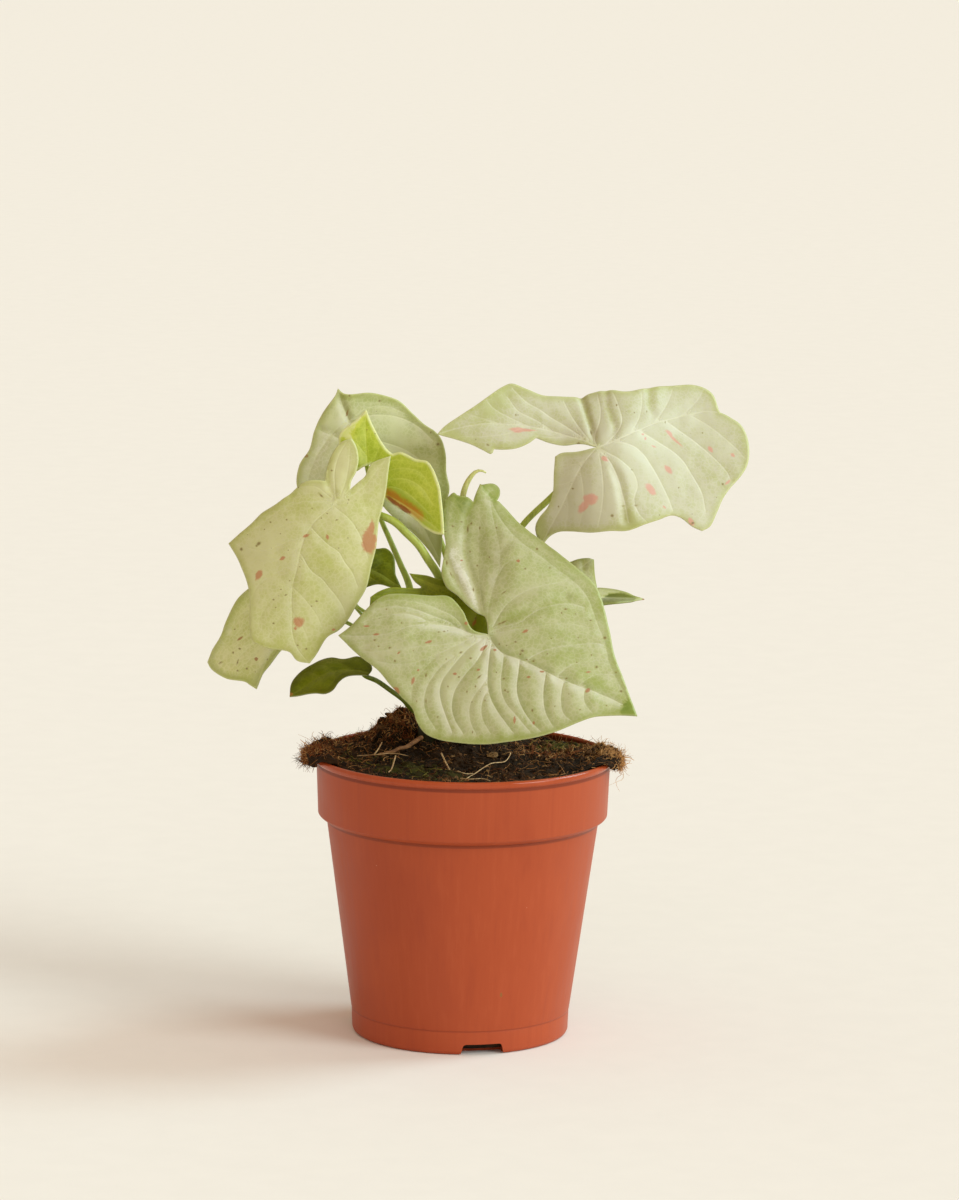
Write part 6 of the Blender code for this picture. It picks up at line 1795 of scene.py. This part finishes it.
class StageSizes(PropertyGroup):
    """Paper and light."""
    colour: FloatVectorProperty(
        name="Paper", description="Colour of the backdrop", subtype="COLOR", min=0.0, max=1.0,
        default=(0.86, 0.82, 0.755))
    key: FloatProperty(
        name="Right softbox", description="Strength of the right softbox", default=1.92, min=0.0)
    fill: FloatProperty(
        name="Front softbox", description="Strength of the front softbox", default=0.3, min=0.0)
    rear: FloatProperty(
        name="Back softbox", description="Strength of the back softbox", default=1.45, min=0.0)
    room: FloatProperty(
        name="Room light", description="Strength of the light all round", default=0.61, min=0.0)


class SYNGONIUM_OT_pot(Operator):
    """Make the nursery pot"""
    bl_idname = "syngonium.pot"
    bl_label = "Pot"

    def execute(self, context):
        sizes = context.scene.syngonium_pot
        build_pot(sizes, pot_finish(sizes))
        return {"FINISHED"}


class SYNGONIUM_OT_soil(Operator):
    """Make the root ball"""
    bl_idname = "syngonium.soil"
    bl_label = "Soil"

    def execute(self, context):
        sizes = context.scene.syngonium_soil
        build_soil(sizes, earth_finish(sizes))
        return {"FINISHED"}


class SYNGONIUM_OT_crumbs(Operator):
    """Strew crumbs over the soil"""
    bl_idname = "syngonium.crumbs"
    bl_label = "Crumbs"

    def execute(self, context):
        sizes = context.scene.syngonium_soil
        build_crumbs(sizes, bits_finish("crumb", sizes, 0.9, 0.8, 0.75))
        return {"FINISHED"}


class SYNGONIUM_OT_fibres(Operator):
    """Strew fibres over the soil and over the rim"""
    bl_idname = "syngonium.fibres"
    bl_label = "Fibres"

    def execute(self, context):
        sizes = context.scene.syngonium_soil
        finish = bits_finish("fibre", sizes, 0.75, 0.12, 1.06)
        build_fibres("fibre_mat", False, sizes, finish)
        build_fibres("loose_fibres", True, sizes, finish)
        return {"FINISHED"}


class SYNGONIUM_OT_straws(Operator):
    """Lay the straws and the dry stalk on the soil"""
    bl_idname = "syngonium.straws"
    bl_label = "Straws"

    def execute(self, context):
        build_straws(dry_finish("straw", srgb(240, 204, 150), srgb(178, 134, 86)))
        build_dead_stalk(dry_finish("dry_stalk", srgb(180, 126, 76), srgb(118, 76, 42)))
        return {"FINISHED"}


class SYNGONIUM_OT_stems(Operator):
    """Grow the stems with their leaf stalks and the rolled new leaf"""
    bl_idname = "syngonium.stems"
    bl_label = "Stems"

    def execute(self, context):
        sizes = context.scene.syngonium_stalks
        green = stalk_finish("stalk_green", (*sizes.low, 1.0), (*sizes.high, 1.0))
        rolled = stalk_finish("rolled_leaf", srgb(140, 146, 56), srgb(205, 205, 130), 0.35)
        for name, stem in STEMS.items():
            build_stem(name, stem, sizes, green, rolled)
        return {"FINISHED"}


class SYNGONIUM_OT_leaves(Operator):
    """Grow the blades"""
    bl_idname = "syngonium.leaves"
    bl_label = "Leaves"

    def execute(self, context):
        sizes = context.scene.syngonium_leaves
        for name, leaf in LEAVES.items():
            style = LOOKS[leaf["look"]]
            top = leaf_finish(f"{name}_top", style, sizes)
            under = leaf_finish(f"{name}_under", style, sizes, under=True)
            shown = (under, top) if leaf.get("turned") else (top, under)
            build_leaf(name, leaf, MARKS[name], sizes, shown)
        return {"FINISHED"}


class SYNGONIUM_OT_stage(Operator):
    """Set the paper, the light and the camera"""
    bl_idname = "syngonium.stage"
    bl_label = "Stage"

    def execute(self, context):
        sizes = context.scene.syngonium_stage
        build_stage(sizes)
        build_lights(sizes)
        build_camera()
        return {"FINISHED"}


class SYNGONIUM_PT_panel(Panel):
    """Buttons and sizes for the plant"""
    bl_idname = "SYNGONIUM_PT_panel"
    bl_label = "Potted Syngonium"
    bl_space_type = "VIEW_3D"
    bl_region_type = "UI"
    bl_category = "Syngonium"

    def draw(self, context):
        for group, buttons in PANEL_ROWS:
            box = self.layout.box()
            settings = getattr(context.scene, f"syngonium_{group}")
            for name in settings.__annotations__:
                box.prop(settings, name)
            for button in buttons:
                box.operator(f"syngonium.{button}")


GROUPS = {"pot": PotSizes, "soil": SoilSizes, "stalks": StalkSizes, "leaves": LeafSizes,
          "stage": StageSizes}
PANEL_ROWS = [("pot", ["pot"]), ("soil", ["soil", "crumbs", "fibres", "straws"]),
              ("stalks", ["stems"]), ("leaves", ["leaves"]), ("stage", ["stage"])]
CLASSES = [*GROUPS.values(), SYNGONIUM_OT_pot, SYNGONIUM_OT_soil, SYNGONIUM_OT_crumbs,
           SYNGONIUM_OT_fibres, SYNGONIUM_OT_straws, SYNGONIUM_OT_stems, SYNGONIUM_OT_leaves,
           SYNGONIUM_OT_stage, SYNGONIUM_PT_panel]


def register():
    for made in CLASSES:
        bpy.utils.register_class(made)
    for name, group in GROUPS.items():
        setattr(bpy.types.Scene, f"syngonium_{name}", PointerProperty(type=group))


def unregister():
    for name in GROUPS:
        delattr(bpy.types.Scene, f"syngonium_{name}")
    for made in reversed(CLASSES):
        bpy.utils.unregister_class(made)


def main():
    """Build the whole scene."""
    for leaf in LEAVES.values():
        leaf["at"] = thin_plate(leaf["depth"])
    register()
    for _, buttons in PANEL_ROWS:
        for button in buttons:
            getattr(bpy.ops.syngonium, button)()


if __name__ == "__main__":
    main()
